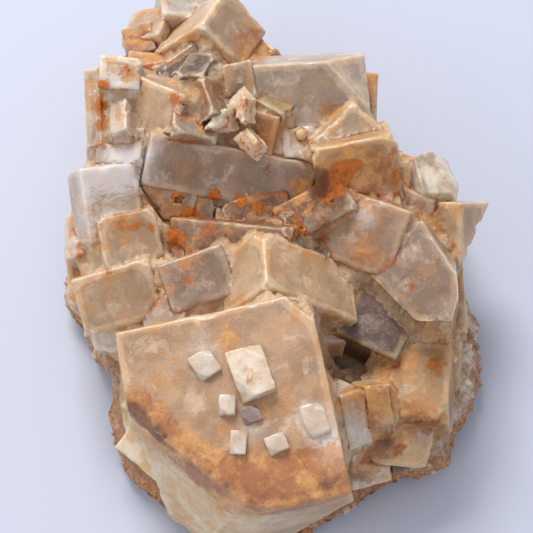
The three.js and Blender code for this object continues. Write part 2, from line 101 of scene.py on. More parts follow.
# Each cube's centre and edge lengths in millimetres, its lean, roll and turn in degrees, its
# shade, how much rust its joints hold, how frosted and clear it is, and its broken planes: an
# outward normal and a point on the plane, along the cube's own axes. Most rows were first
# fitted by another program to chosen corners and rounded; some were then changed.
CUBES = {
    "front_cube": ((-4.5, -30, 20.5), (33.5, 35, 30), (6, -7, 11), "rose", 0.35, 0.2, [
        ((-0.74, -0.62, 0.26), (-10, -4.3, 15)),
        ((-0.36, -0.92, 0.12), (2, -16.6, 15)),
        ((0.77, -0.43, -0.47), (16.7, -17.5, 8)),
    ]),
    "long_brick": ((-7.57, 20.27, 24.32), (31, 9.8, 14.5), (38, 18, -16), "taupe", 0.2, 0.35, []),
    "brick_foot": ((-18.61, 15.82, 23.21), (10.1, 7.5, 13.1), (38, 18, -16), "taupe", 0.45, 0.3, [
        ((-0.72, -0.69, 0), (-5, 1.2, 0)),
    ]),
    "brick_step": ((-12.07, 15.12, 21.28), (4, 8.1, 12.9), (38, 18, -16), "taupe", 0.5, 0.3, []),
    "brick_terrace": ((-8.08, 14.79, 19.14), (12.8, 7.5, 11.2), (38, 18, -16), "brown", 0.9, 0.2, []),
    "back_slab": ((8.09, 32.7, 28.91), (21, 14.4, 13.5), (40, -1, 4), "pale", 0.25, 0.3, [
        ((0.6, 0.5, 0.62), (7.2, 2.1, 6.75)),
    ]),
    "slab_shoulder": ((-4, 32.5, 33.5), (5.5, 7, 8), (21, -17, 10), "grey", 0.3, 0.3, []),
    "rusty_cube": ((16.1, 18.1, 28.2), (15, 12.5, 11), (45.3, -8.5, 15.3), "honey", 1, 0.3, []),
    "grey_pyramid": ((15.8, 21.7, 29.2), (11, 11, 8), (13.3, -13.8, 45.9), "sand", 0.1, 0.4, []),
    "pointed_crystal": ((33.5, 9.5, 19), (11.5, 12, 11.5), (-47, -43, -53), "cream", 0.7, 0.3, [
        ((0, 0.72, -0.69), (0, 0, 0)),
    ]),
    "right_cube": ((28.7, -4.6, 22.1), (19.5, 15, 12), (27, -5, -61), "grey", 0.3, 0.5, [
        ((0.45, 0.84, -0.32), (4.8, 6.4, 6)),
        ((0.69, 0.62, -0.39), (8.2, 3.8, 6)),
        ((0.78, -0.58, -0.23), (7.8, -0.2, 6)),
        ((0.2, -0.98, 0.1), (1.2, -4, 6)),
    ]),
    "smoky_cube": ((20, -8.3, 16.2), (13, 12, 9.6), (2.5, 0.6, -27.6), "smoky", 0.1, 0.05, []),
    "cream_wedge": ((4, -4.8, 24), (21.5, 12, 12), (-7, 41, 4), "cream", 0.6, 0.3, []),
    "plum_cube": ((5, 4.5, 23), (10, 8.5, 9), (-6, 32, 1), "smoky", 0.4, 0.3, []),
    "right_inner": ((18.6, 7.9, 21.9), (15.5, 13, 13), (30, -6, -22), "beige", 0.9, 0.2, []),
    "grey_cube": ((-11.7, -3.5, 23.1), (12, 9.5, 11), (8, -8, 19), "grey", 0.5, 0.3, []),
    "amber_block": ((-4.7, 4.6, 21), (23, 12, 13), (36, -18, -3), "umber", 0.8, 0.2, []),
    "left_slab": ((-26.5, -4, 20.3), (14.5, 10.5, 12), (28, -8, 18), "cream", 0.4, 0.3, []),
    "beige_cube": ((-25.7, 4.9, 23.6), (11, 10, 11), (24, 12, 14), "cream", 0.6, 0.3, []),
    "plum_chip": ((-17, 4.5, 20.5), (5, 7, 7), (10, -9, 7), "plum", 0.4, 0.3, []),
    "frosted_cube": ((-29.1, 11.4, 26.4), (10.5, 13.5, 12), (28, 14, 9), "pale", 0.4, 1, []),
    "left_glassy": ((-30.5, 15, 23.5), (5.5, 7.5, 8), (-3, -36, 4), "glassy", 0.4, 0.8, []),
    "left_grey": ((-31.5, 8, 17.5), (7.5, 10.5, 10), (-9, -30, 5), "glassy", 0.5, 0.7, []),
    "brown_cube": ((-20.6, 27.7, 29.8), (14.5, 14, 12), (38, -8, -24), "cream", 0.6, 0.2, []),
    "glassy_top": ((-26.5, 32.5, 35), (7.5, 6, 8.5), (13, 4, -4), "white", 0.4, 0.9, []),
    "left_prism": ((-30.5, 28, 30), (3, 15, 9), (10, -14, 4), "glassy", 0.5, 0.6, []),
    "upper_low": ((-25.5, 20, 29), (8.5, 7, 10), (7, -10, -6), "grey", 0.7, 0.3, []),
    "white_corner": ((-25, 24, 33.5), (3.5, 8, 7), (-8, -27, 3), "glassy", 0.5, 0.8, []),
    "peak": ((-12.5, 47, 23.5), (19.5, 13, 11.5), (-18, -51, -23), "cream", 0.8, 0.2, []),
    "peak_lump": ((-23.5, 48.5, 21.5), (6, 6, 9), (7, -17, 13), "grey", 0.7, 0.3, []),
    "peak_foot": ((-19.5, 36, 22.5), (12, 8, 12), (5, 15, 4), "beige", 0.8, 0.2, []),
    "small_pyramid": ((-10.5, 27, 34.5), (6, 8.5, 7), (-3, 39, 16), "umber", 0.5, 0.4, []),
    "pyramid_side": ((-12, 33.5, 34), (5.5, 6.5, 7), (62, -52, 34), "smoky", 0.5, 0.3, []),
    "grey_chip": ((-14, 22.5, 32.5), (8.5, 6.5, 8), (-8, 20, 1), "grey", 0.8, 0.3, []),
    "olive_wedge": ((1, 29, 32.5), (8, 4, 7), (68, 12, -41), "olive", 0.6, 0.6, []),
    "sparkling_block": ((6.5, 23.5, 26.5), (8.5, 5.5, 9), (19, 6, 7), "white", 0.5, 0.5, []),
    "pocket_block": ((4, 25, 17.5), (13, 12.5, 12), (4, 22, 1), "amber", 1.2, 0.1, []),
    "pink_chip": ((22, 11, 26), (4.5, 6, 6), (0, -4, 6), "cream", 0.6, 0.3, []),
    "ridge_back": ((21.5, 20, 26.5), (3.5, 5.5, 8), (7, 16, 9), "white", 0.6, 0.2, []),
    "ridge_front": ((24, 18, 24), (3.5, 5.5, 8), (21, 6, 6), "cream", 0.9, 0.2, []),
    "hollow_chip": ((12, -11.5, 15.5), (4, 2.5, 6), (-9, 6, 5), "white", 0.2, 0.3, []),
    "corner_top": ((27.5, -19.4, 13.1), (12, 14, 12), (6, -10, -5), "honey", 1.1, 0.3, []),
    "corner_finger": ((13.5, -26, 18.5), (4.5, 10, 10), (39, 16, 14), "white", 0.5, 0.3, []),
    "corner_amber": ((18.5, -24, 18), (5, 7.5, 9), (28, 15, 4), "honey", 0.9, 0.2, []),
    "corner_cream": ((22.4, -26.2, 10.2), (12.5, 11.5, 12), (24, 14, -8), "cream", 0.8, 0.2, []),
    "corner_low": ((16.5, -30.5, 10), (8, 8.5, 10), (45, 24, 3), "white", 0.6, 0.3, []),
    "corner_grey": ((22.5, -27.5, 9.5), (4.5, 9.5, 9), (43, 22, 4), "amber", 0.9, 0.2, []),
    "left_foot": ((-32, 2, 12.5), (7, 12, 12), (5, -14, 7), "beige", 0.6, 0.5, []),
    "left_edge": ((-26, -3.5, 13.5), (7.5, 11.5, 14), (50, -35, 10), "white", 0.6, 0.5, []),
    "beige_foot": ((-24.5, 1.5, 15), (10, 7, 12), (9, 4, 10), "beige", 0.9, 0.2, []),
    "right_foot": ((33.5, -2, 11.5), (6.5, 13.5, 10), (6, -4, 2), "cream", 0.9, 0.2, []),
    "peak_back": ((-14, 55, 18), (16, 12, 13), (-24, 14, 8), "white", 0.5, 0.2, []),
    "peak_shoulder": ((-21.5, 50.5, 20.5), (9, 9, 10), (-12, -28, -16), "pale", 0.6, 0.2, []),
    "flank_front_left": ((-15.5, -31.5, 7.5), (22, 9, 6), (32, 5, -42), "rose", 0.4, 0.2, []),
    "flank_right": ((30.5, 13, 11), (8, 10, 9), (12, 18, 20), "beige", 0.8, 0.3, []),
    "flank_corner": ((27, 22, 11), (11, 10, 9), (-10, 20, -20), "honey", 0.7, 0.3, []),
    "flank_back_right": ((12, 36, 12), (12, 11, 11), (-15, 20, 30), "beige", 0.6, 0.3, []),
    "flank_back": ((5, 43, 11), (12, 10, 12), (-20, -10, -15), "beige", 0.6, 0.3, []),
    "flank_left_back": ((-25, 41, 16), (10, 11, 12), (-15, -25, 15), "beige", 0.6, 0.4, []),
    "flank_left": ((-27, 26, 14), (9, 12, 10), (8, -16, -12), "glassy", 0.6, 0.4, []),
    # The 14 blocks from here to slab_foot fill gaps. A random search in another program placed
    # them, and its numbers were rounded: they were not chosen by hand.
    "back_bench": ((-0.5, 46.5, 19), (6, 6, 10), (21, -8, -31), "cream", 0.8, 0.2, []),
    "crevice_floor": ((-3.5, 24, 28.5), (11, 11, 9), (33, 2, -15), "amber", 0.8, 0.2, []),
    "right_bench": ((18, 26.5, 18.5), (6.5, 10, 9.5), (15, 10, 23), "beige", 0.8, 0.2, []),
    "inner_bench": ((10, 10.5, 23.5), (14, 7.5, 11), (4, -19, 25), "umber", 0.8, 0.2, []),
    "brick_bench": ((-21, 10, 20), (9, 9, 10), (4, -2, -30), "honey", 0.8, 0.2, []),
    "front_bench": ((-15.5, -7, 20.5), (8.5, 9.5, 12), (15, -22, -9), "glassy", 0.8, 0.2, []),
    "right_bench_chip": ((16.5, 26.5, 21), (6.5, 8, 10.5), (25, 15, 19), "amber", 0.8, 0.2, []),
    "clear_bench": ((25, 13.5, 21), (10, 8.5, 11.5), (34, 15, -28), "white", 0.5, 0.2, []),
    "left_bench": ((-22, 37.5, 24.5), (9.5, 6.5, 9.5), (16, 19, 20), "brown", 0.6, 0.2, []),
    "slab_bench": ((-4.5, 42.5, 22), (9, 8, 9.5), (2, 16, 20), "beige", 0.8, 0.2, []),
    "middle_bench": ((-2, 11, 21), (12.5, 7, 11), (13, 2, 21), "umber", 0.8, 0.2, []),
    "peak_bench": ((-15, 38.5, 25.5), (10, 7, 11), (6, -4, 39), "smoky", 0.4, 0.2, []),
    "slab_chip": ((-4.5, 35, 25.5), (7.5, 7, 10.5), (2, 24, 40), "amber", 0.8, 0.2, []),
    "slab_foot": ((5.5, 41, 19.5), (7.5, 8, 8.5), (1, -5, -12), "beige", 0.8, 0.2, []),
    "core_middle": ((0, 8, 12), (60, 28, 16), (4, -3, 5), "amber", 1, 0.1, []),
    "core_back": ((-4, 30, 14), (48, 28, 20), (5, 4, -4), "amber", 1, 0.1, []),
}


def turned(turns):
    """The cube's turns as a matrix: rolled about Y, leaned about X, turned about Z."""
    lean, roll, turn = (math.radians(angle) for angle in turns)
    return (Matrix.Rotation(turn, 3, "Z") @ Matrix.Rotation(lean, 3, "X")
            @ Matrix.Rotation(roll, 3, "Y"))


class Wire:
    """An output socket of a node tree. A sum on it adds the node that works it out."""

    def __init__(self, tree, socket):
        self.tree, self.socket = tree, socket

    def _math(self, operation, *values):
        return Bench(self.tree).node("ShaderNodeMath", {"operation": operation}, *values)

    def __add__(self, other):
        return self._math("ADD", self, other)

    def __radd__(self, other):
        return self._math("ADD", other, self)

    def __sub__(self, other):
        return self._math("SUBTRACT", self, other)

    def __rsub__(self, other):
        return self._math("SUBTRACT", other, self)

    def __mul__(self, other):
        return self._math("MULTIPLY", self, other)

    def __rmul__(self, other):
        return self._math("MULTIPLY", other, self)


class Bench:
    """Where a node tree is put together."""

    def __init__(self, tree):
        self.tree = tree

    def node(self, kind, settings=None, *values, out=0, **named):
        """Adds a node: its settings first, then the values or links of its sockets."""
        node = self.tree.nodes.new(kind)
        for key, value in (settings or {}).items():
            setattr(node, key, value)
        sockets = list(zip(node.inputs, values))
        for key, value in named.items():
            sockets.append((node.inputs[int(key[1:])] if key[1:].isdigit()
                            else node.inputs[key.replace("_", " ")], value))
        for socket, value in sockets:
            for one in value if isinstance(value, list) else [value]:
                if isinstance(one, Wire):
                    self.tree.links.new(one.socket, socket)
                elif one is not None:
                    socket.default_value = one
        return Wire(self.tree, node.outputs[out]) if node.outputs else node

    def vector(self, operation, *values, out=0, **named):
        """Arithmetic on vectors."""
        return self.node("ShaderNodeVectorMath", {"operation": operation}, *values,
                         out=out, **named)

    def attribute(self, name, out):
        """What the mesh knows under this name, as a colour (0), a vector (1) or a number (2)."""
        return self.node("ShaderNodeAttribute", {"attribute_name": name}, out=out)

    def split(self, vector):
        """The three parts of a vector."""
        parts = self.node("ShaderNodeSeparateXYZ", None, vector)
        return [Wire(self.tree, socket) for socket in parts.socket.node.outputs]

    def noise(self, place, scale, detail=3.0, rough=0.55):
        """Cloudy noise from 0 to 1."""
        return self.node("ShaderNodeTexNoise", None, place, Scale=scale, Detail=detail,
                         Roughness=rough)

    def ramp(self, value, low, high):
        """0 below low, 1 above high, smooth between."""
        return self.node("ShaderNodeMapRange", {"interpolation_type": "SMOOTHSTEP"}, value, low, high)

    def blend(self, share, one, other, kind="MIX"):
        """A mix of two colours."""
        return self.node("ShaderNodeMix", {"data_type": "RGBA", "blend_type": kind},
                         share, _6=one, _7=other, out=2)

    def times(self, colour, shade):
        """A colour darkened by a shade."""
        return self.blend(1.0, colour, shade, "MULTIPLY")

    def bump(self, strength, distance, height):
        """Relief for the Normal socket."""
        return self.node("ShaderNodeBump", None, Strength=strength, Distance=distance,
                         Height=height)


def geometry_tree(name, inputs):
    """An empty Geometry Nodes tree with these inputs, its bench and its input wires."""
    tree = bpy.data.node_groups.new(name, "GeometryNodeTree")
    tree.interface.new_socket("Geometry", in_out="OUTPUT", socket_type="NodeSocketGeometry")
    for label, kind in inputs.items():
        tree.interface.new_socket(label, in_out="INPUT", socket_type="NodeSocket" + kind)
    entry = tree.nodes.new("NodeGroupInput")
    return tree, Bench(tree), {label: Wire(tree, entry.outputs[label]) for label in inputs}


def finish_tree(bench, geometry, material):
    """Every tree ends by making its copies real and giving them their material."""
    whole = bench.node("GeometryNodeRealizeInstances", None, geometry)
    whole = bench.node("GeometryNodeSetMaterial", None, whole, Material=material)
    exit_node = bench.tree.nodes.new("NodeGroupOutput")
    bench.tree.links.new(whole.socket, exit_node.inputs[0])


def run_tree(tree, values, start=None):
    """The plain mesh that the tree makes with these input values."""
    holder = bpy.data.objects.new("holder", start or bpy.data.meshes.new("holder"))
    bpy.context.collection.objects.link(holder)
    modifier = holder.modifiers.new("tree", "NODES")
    modifier.node_group = tree
    for item in tree.interface.items_tree:
        if item.item_type == "SOCKET" and item.in_out == "INPUT" and item.name in values:
            modifier[item.identifier] = values[item.name]
    ready = holder.evaluated_get(bpy.context.evaluated_depsgraph_get())
    mesh = bpy.data.meshes.new_from_object(ready)
    bpy.data.objects.remove(holder)
    return mesh


def linear(*colour):
    """A colour as it looks on screen, 0-255, as light."""
    return tuple(((c / 255 + 0.055) / 1.055) ** 2.4 for c in colour) + (1.0,)


def new_look(name):
    """A material with an empty node tree, and the bench to build it on."""
    look = bpy.data.materials.new(name)
    look.use_nodes = True
    look.node_tree.nodes.clear()
    return look, Bench(look.node_tree)


fluorite, fluorite_bench = new_look("fluorite")


def worn_block(bench, size, wear):
    """A block with its edges and corners worn to narrow flats."""
    shells = []
    for axis in range(3):
        keep = tuple(0.0 if i == axis else 2.0 for i in range(3))
        less = bench.vector("SCALE", keep, Scale=wear)
        flat = bench.vector("SUBTRACT", size, less)
        shells.append(bench.node("GeometryNodeMeshCube", None, flat))
    joined = bench.node("GeometryNodeJoinGeometry", None, shells)
    return bench.node("GeometryNodeConvexHull", None, joined)


def crystal_tree():
    """A worn core block and, where Blocks says so, parallel blocks a step proud of it."""
    tree, bench, inlet = geometry_tree("growth_blocks", {
        "Size": "Vector", "Wear": "Float", "Step": "Float", "Blocks": "Int", "Seed": "Int",
    })
    size, step = inlet["Size"], inlet["Step"]
    two = bench.vector("SCALE", (2.0, 2.0, 2.0), Scale=step)
    core_size = bench.vector("SUBTRACT", size, two)
    core = worn_block(bench, core_size, inlet["Wear"])
    parts = [core]
    for axis in range(3):
        along = tuple(float(i == axis) for i in range(3))
        across = tuple(float(i != axis) for i in range(3))
        seed = inlet["Seed"] + 10.0 * axis
        share = bench.node("FunctionNodeRandomValue", {"data_type": "FLOAT_VECTOR"},
                           (0.18, 0.18, 0.18), (0.8, 0.8, 0.8), Seed=seed)
        place = bench.node("FunctionNodeRandomValue", {"data_type": "FLOAT_VECTOR"},
                           (-0.5, -0.5, -0.5), (0.5, 0.5, 0.6), Seed=seed + 5.0)
        lift = bench.node("FunctionNodeRandomValue", {"data_type": "FLOAT"},
                          _2=0.25, _3=1.0, Seed=seed + 7.0, out=1)
        grown = bench.vector("SCALE", two, Scale=lift)
        tall = bench.vector("DIVIDE", bench.vector("ADD", core_size, grown), core_size)
        scale = bench.vector("ADD", bench.vector("MULTIPLY", share, across),
                             bench.vector("MULTIPLY", tall, along))
        spare = bench.vector("SUBTRACT", (1.0, 1.0, 1.0), share)
        room = bench.vector("MULTIPLY", spare, core_size)
        offset = bench.vector("MULTIPLY", bench.vector("MULTIPLY", place, room), across)
        points = bench.node("GeometryNodePoints", None, inlet["Blocks"], offset)
        parts.append(bench.node("GeometryNodeInstanceOnPoints", None, points,
                                Instance=core, Scale=scale))
    union = bench.node("GeometryNodeMeshBoolean", {"operation": "UNION", "solver": "MANIFOLD"},
                       None, parts)
    finish_tree(bench, union, fluorite)
    return tree


EDGE_MARGIN = 0.7 * MM


def slice_mesh(mesh, half, cell, middle=(0, 0, 0)):
    """Cuts every face into a grid along the mesh's own axes, with a row close to each edge."""
    work = bmesh.new()
    work.from_mesh(mesh)
    for axis in range(3):
        reach = half[axis] - EDGE_MARGIN
        count = max(1, round(2 * reach / cell))
        normal = [float(i == axis) for i in range(3)]
        for step in range(count + 1):
            place = (2 * step / count - 1) * reach
            bmesh.ops.bisect_plane(
                work, geom=work.verts[:] + work.edges[:] + work.faces[:], dist=1e-8,
                plane_co=[place * n + m for n, m in zip(normal, middle)], plane_no=normal)
    work.to_mesh(mesh)
    work.free()


def cut_away(work, point, outward):
    """Takes away what lies beyond a plane and closes the wound."""
    cut = bmesh.ops.bisect_plane(
        work, geom=work.verts[:] + work.edges[:] + work.faces[:], clear_outer=True,
        plane_co=point, plane_no=outward)
    rim = [item for item in cut["geom_cut"] if isinstance(item, bmesh.types.BMEdge)]
    bmesh.ops.holes_fill(work, edges=rim)


def break_mesh(mesh, planes):
    """Cuts a mesh along each broken plane and turns its faces outwards."""
    work = bmesh.new()
    work.from_mesh(mesh)
    for normal, point in planes:
        cut_away(work, Vector(point) * MM, Vector(normal))
    bmesh.ops.recalc_face_normals(work, faces=work.faces)
    work.to_mesh(mesh)
    work.free()


NO_CUBE = -1


def named_mesh(mesh, number=NO_CUBE):
    """Notes on every face which cube it belongs to."""
    owner = mesh.attributes.new("cube", "FLOAT", "FACE")
    owner.data.foreach_set("value", np.full(len(mesh.polygons), number, np.float32))
    return mesh


def blend_solids(operation, base, others):
    """The union, difference or overlap of closed meshes, as one closed mesh."""
    shelf = bpy.data.collections.new("shelf")
    bpy.context.scene.collection.children.link(shelf)
    for mesh in others:
        shelf.objects.link(bpy.data.objects.new("operand", mesh))
    holder = bpy.data.objects.new("holder", base)
    bpy.context.collection.objects.link(holder)
    modifier = holder.modifiers.new("joined", "BOOLEAN")
    modifier.operation, modifier.operand_type = operation, "COLLECTION"
    modifier.collection, modifier.solver = shelf, "MANIFOLD"
    ready = holder.evaluated_get(bpy.context.evaluated_depsgraph_get())
    mesh = bpy.data.meshes.new_from_object(ready)
    bpy.data.objects.remove(holder)
    for operand in list(shelf.objects):
        bpy.data.objects.remove(operand)
    bpy.data.collections.remove(shelf)
    return mesh


SLIVER = 0.003 * MM


def one_shell(mesh):
    """Leaves only the outer skin: folded slivers, fins and closed-off hollows go."""
    work = bmesh.new()
    work.from_mesh(mesh)
    bmesh.ops.remove_doubles(work, verts=work.verts, dist=SLIVER)
    bmesh.ops.triangulate(work, faces=work.faces)
    bmesh.ops.dissolve_degenerate(work, dist=SLIVER, edges=work.edges)
    bmesh.ops.triangulate(work, faces=work.faces)
    twins = {}
    for face in work.faces:
        twins.setdefault(frozenset(face.verts), []).append(face)
    folded = [face for pair in twins.values() if len(pair) > 1 for face in pair]
    bmesh.ops.delete(work, geom=folded, context="FACES")
    shared = {face: [len(edge.link_faces) for edge in face.edges] for face in work.faces}
    fins = [face for face, counts in shared.items() if max(counts) > 2 and min(counts) < 2]
    bmesh.ops.delete(work, geom=fins, context="FACES")
    waiting = set(work.faces)
    shells = []
    while waiting:
        front = [waiting.pop()]
        shell = []
        while front:
            face = front.pop()
            shell.append(face)
            for other in (link for edge in face.edges for link in edge.link_faces):
                if other in waiting:
                    waiting.remove(other)
                    front.append(other)
        shells.append(shell)
    shells.sort(key=len)
    inner = [face for shell in shells[:-1] for face in shell]
    bmesh.ops.delete(work, geom=inner, context="FACES")
    loose = [vert for vert in work.verts if not vert.link_faces]
    bmesh.ops.delete(work, geom=loose, context="VERTS")
    work.to_mesh(mesh)
    work.free()


def node_copy(name, grow=0.0):
    """A merged copy of a CAD node's solid, grown from its middle."""
    work = bmesh.new()
    work.from_mesh(frame["nodes"][name].data)
    bmesh.ops.remove_doubles(work, verts=work.verts, dist=1e-6)
    middle = sum((v.co for v in work.verts), Vector()) / len(work.verts)
    spread = max((v.co - middle).length for v in work.verts)
    for vert in work.verts:
        vert.co += (vert.co - middle) * (grow / spread)
    mesh = bpy.data.meshes.new(name + "_copy")
    work.to_mesh(mesh)
    work.free()
    return mesh


def read(data, field, width, kind=np.float32):
    """One field of every vertex, corner or face, as rows of numbers."""
    values = np.empty(len(data) * width, kind)
    data.foreach_get(field, values)
    return values.reshape(-1, width) if width > 1 else values


def slice_whole(mesh, cell):
    """Cuts a mesh into a grid that fits its own box."""
    corners = read(mesh.vertices, "co", 3)
    low, high = corners.min(axis=0), corners.max(axis=0)
    slice_mesh(mesh, (high - low) / 2, cell, (high + low) / 2)


def move_corners(mesh, places):
    """Moves a mesh's corners to these places, in millimetres, kept inside the specimen's box."""
    low, high = (np.array(corner) / MM for corner in cad_box)
    inside = np.clip(places, low, high)
    mesh.vertices.foreach_set("co", (inside * MM).astype(np.float32).ravel())


def grain_noise(points, scale, seed=0.0):
    """Smooth noise from -1 to 1 at points in millimetres."""
    return np.array([noise.noise(Vector(p)) for p in points * scale + seed])


# The massive bed under the cubes is the rock's own outline, drawn in and raised.
ROCK_MIDDLE = np.array([-1.11, -4.64]) * MM
DRAWN_IN = 0.93


def inner_rock(rise, lift=0.0):
    """The host rock's own solid, drawn in a little, stretched upwards and lifted."""
    mesh = node_copy("host_rock")
    points = read(mesh.vertices, "co", 3)
    points[:, :2] = (points[:, :2] - ROCK_MIDDLE) * DRAWN_IN + ROCK_MIDDLE
    points[:, 2] = points[:, 2] * rise + lift
    mesh.vertices.foreach_set("co", points.ravel())
    return mesh


BED_RISE, BED_LIFT = 1.3, 1.0 * MM
BED_CELL = 1.6 * MM
bed = inner_rock(BED_RISE, BED_LIFT)
slice_whole(bed, BED_CELL)
named_mesh(bed)

growth = crystal_tree()


def grown_block(edges, wear, step, blocks, seed):
    """A worn block of these edge lengths, with this many growth blocks on each side."""
    return run_tree(growth, {
        "Size": tuple(edge * MM for edge in edges), "Wear": wear * MM, "Step": step * MM,
        "Blocks": blocks, "Seed": seed,
    })


def laid(centre, turns):
    """The place of a block in the specimen, as a matrix."""
    return Matrix.Translation(Vector((np.array(centre) + SHIFT) * MM)) @ turned(turns).to_4x4()


# Nearly half of the corners are chipped off, by up to about a tenth of the cube's shortest edge.
CHIP_SHARE = 0.45
CHIP_DEPTHS = (0.05, 0.12)
CHIP_LEAN = 0.25
FINE_CELL, BURIED_CELL = 0.9, 1.5
cores, cubes, cleavages = [], [], []
for number, (name, row) in enumerate(CUBES.items()):
    centre, edges, turns = row[:3]
    planes = row[6]
    core = name.startswith("core_")
    cell = BURIED_CELL if core or name.startswith("flank_") else FINE_CELL
    dice = np.random.default_rng(number)
    chipped = []
    if not core:
        for octant in np.ndindex(2, 2, 2):
            normal = np.array(octant) * 2.0 - 1
            depth = dice.uniform(*CHIP_DEPTHS) * min(edges) + 0.2
            if dice.random() < CHIP_SHARE:
                outward = normal + dice.uniform(-CHIP_LEAN, CHIP_LEAN, 3)
                corner = normal * np.array(edges) / 2
                chipped.append((tuple(outward), tuple(corner - normal * depth * 0.6)))
    cleavages.append(chipped)
    mesh = grown_block(edges, min(0.3, 0.03 * min(edges)), 0.025, 0, 17 * number)
    if planes or chipped:
        break_mesh(mesh, planes + chipped)
    slice_mesh(mesh, [edge * MM / 2 for edge in edges], cell * MM)
    mesh.transform(laid(centre, turns))
    (cores if core else cubes).append(named_mesh(mesh, number))
# A stepped hollow in the bed beside the biggest cube.
hollow = grown_block((8, 12, 18), 1.0, 0.2, 3, 5)
hollow.transform(laid((14.5, -10, 18), (10, -14, 6)))

FAR = 1e3


def lid_height(across, centre, half, turning, planes):
    """How high a plumb line through each place leaves the cube; 0 where it misses."""
    foot = (np.c_[across, np.zeros(len(across))] - centre) @ turning
    rise = turning[2]
    walls = []
    for axis in range(3):
        for normal in (-np.eye(3)[axis], np.eye(3)[axis]):
            walls.append((normal, normal * half))
    for normal, point in planes:
        walls.append((np.array(normal) / np.linalg.norm(normal), np.array(point)))
    enter, leave = np.full(len(across), -FAR), np.full(len(across), FAR)
    for normal, point in walls:
        slope, room = rise @ normal, (point - foot) @ normal
        if slope > 1e-6:
            leave = np.minimum(leave, room / slope)
        elif slope < -1e-6:
            enter = np.maximum(enter, room / slope)
        else:
            leave = np.where(room < 0, -FAR, leave)
    return np.where(leave > enter, leave, 0)


# The fill between the cubes: where a ball rolled over their tops would leave a gap, massive
# fluorite stands a little below the ball, in low square steps.
FILL_PITCH = 0.65
FILL_BALL = 2.8
FILL_DROP = 0.2
FILL_LEAST, FILL_FOOT = 7.0, 6.0
grid_x = np.arange(-44, 44, FILL_PITCH)
grid_y = np.arange(-60, 60, FILL_PITCH)
across = np.array(np.meshgrid(grid_x, grid_y, indexing="ij")).reshape(2, -1).T
lids = np.zeros(len(across))
for name, row in CUBES.items():
    if not name.startswith("core_"):
        lids = np.maximum(lids, lid_height(across, np.array(row[0]) + SHIFT, np.array(row[1]) / 2,
                                           np.array(turned(row[2])), row[6]))
lids = lids.reshape(len(grid_x), len(grid_y))


def rolled(heights, sign):
    """The surface that the middle of a ball rolling over (or under) these heights draws."""
    reach = int(FILL_BALL / FILL_PITCH)
    best = np.full(heights.shape, -FAR)
    padded = np.pad(sign * heights, reach, mode="edge")
    for i in range(2 * reach + 1):
        for j in range(2 * reach + 1):
            away = math.hypot(i - reach, j - reach) * FILL_PITCH
            if away < FILL_BALL:
                part = padded[i:i + heights.shape[0], j:j + heights.shape[1]]
                best = np.maximum(best, part + math.sqrt(FILL_BALL ** 2 - away ** 2))
    return sign * best


filled = rolled(rolled(lids, 1), -1).ravel()
filled -= 0.5 * np.abs(grain_noise(np.c_[across, filled], 0.35, 71.0))
for spin, scale, drop in ((25, 0.38, 0.6), (-12, 0.62, 0.5)):
    squares = (np.array(Matrix.Rotation(math.radians(spin), 2)) @ across.T).T * scale
    filled -= drop * np.array([abs(noise.cell(Vector((x, y, 0.5)))) for x, y in squares])
filled = np.maximum(filled - FILL_DROP, FILL_LEAST).reshape(lids.shape)
count_x, count_y = filled.shape
total = count_x * count_y
corners = np.c_[across, filled.ravel()]
feet = corners.copy()
feet[:, 2] = FILL_FOOT
index = np.arange(total).reshape(count_x, count_y)
quads = np.stack([index[:-1, :-1], index[1:, :-1], index[1:, 1:], index[:-1, 1:]], -1)
quads = quads.reshape(-1, 4)
rim = np.concatenate([index[:-1, 0], index[-1, :-1], index[:0:-1, -1], index[0, :0:-1]])
skirt = np.stack([rim, rim + total, np.roll(rim, -1) + total, np.roll(rim, -1)], -1)
joint_fill = bpy.data.meshes.new("joint_fill")
joint_fill.from_pydata(np.r_[corners, feet] * MM, [],
                       np.r_[quads, (quads + total)[:, ::-1], skirt].tolist())
# With no planes this only turns the fill's faces outwards. The fill stays over the rock.
break_mesh(joint_fill, [])
joint_fill = named_mesh(blend_solids("INTERSECT", joint_fill, [inner_rock(8)]))

# The long cube and its foot stand free of the fill by a narrow groove.
brick_centre, brick_size, brick_turns = CUBES["long_brick"][:3]
brick_frame = laid(brick_centre, brick_turns)
GROOVE = 1.0
GROOVE_RISE = 13.7
brick_groove = grown_block([edge + GROOVE for edge in brick_size], 0.2, 0.02, 0, 4)
brick_groove.transform(brick_frame @ Matrix.Translation((0, 0, GROOVE_RISE * MM)))
foot_groove = grown_block((14.4, 8, 15.5), 0.2, 0.02, 0, 4)
break_mesh(foot_groove, [((-0.72, -0.69, 0), (-7.3, 1.4, 0))])
foot_groove.transform(brick_frame
                      @ Matrix.Translation((-8.1 * MM, -7 * MM, GROOVE_RISE * MM)))
joint_fill = blend_solids("DIFFERENCE", joint_fill,
                          [named_mesh(brick_groove), named_mesh(foot_groove)])

mass = blend_solids("UNION", bed, cores + [joint_fill])
mass = blend_solids("DIFFERENCE", mass, [named_mesh(hollow)])
mass = blend_solids("UNION", mass, cubes)
# Room for the rock below and for the small pieces that sit in the mass.
SOCKET_ROOM = 0.2 * MM
sockets = [named_mesh(node_copy(name, SOCKET_ROOM)) for name in (
    "clear_crystal", "cream_blade_left", "cream_blade_right", "cream_stem", "resin_grain")]
mass = blend_solids("DIFFERENCE", mass, [named_mesh(node_copy("host_rock"))] + sockets)

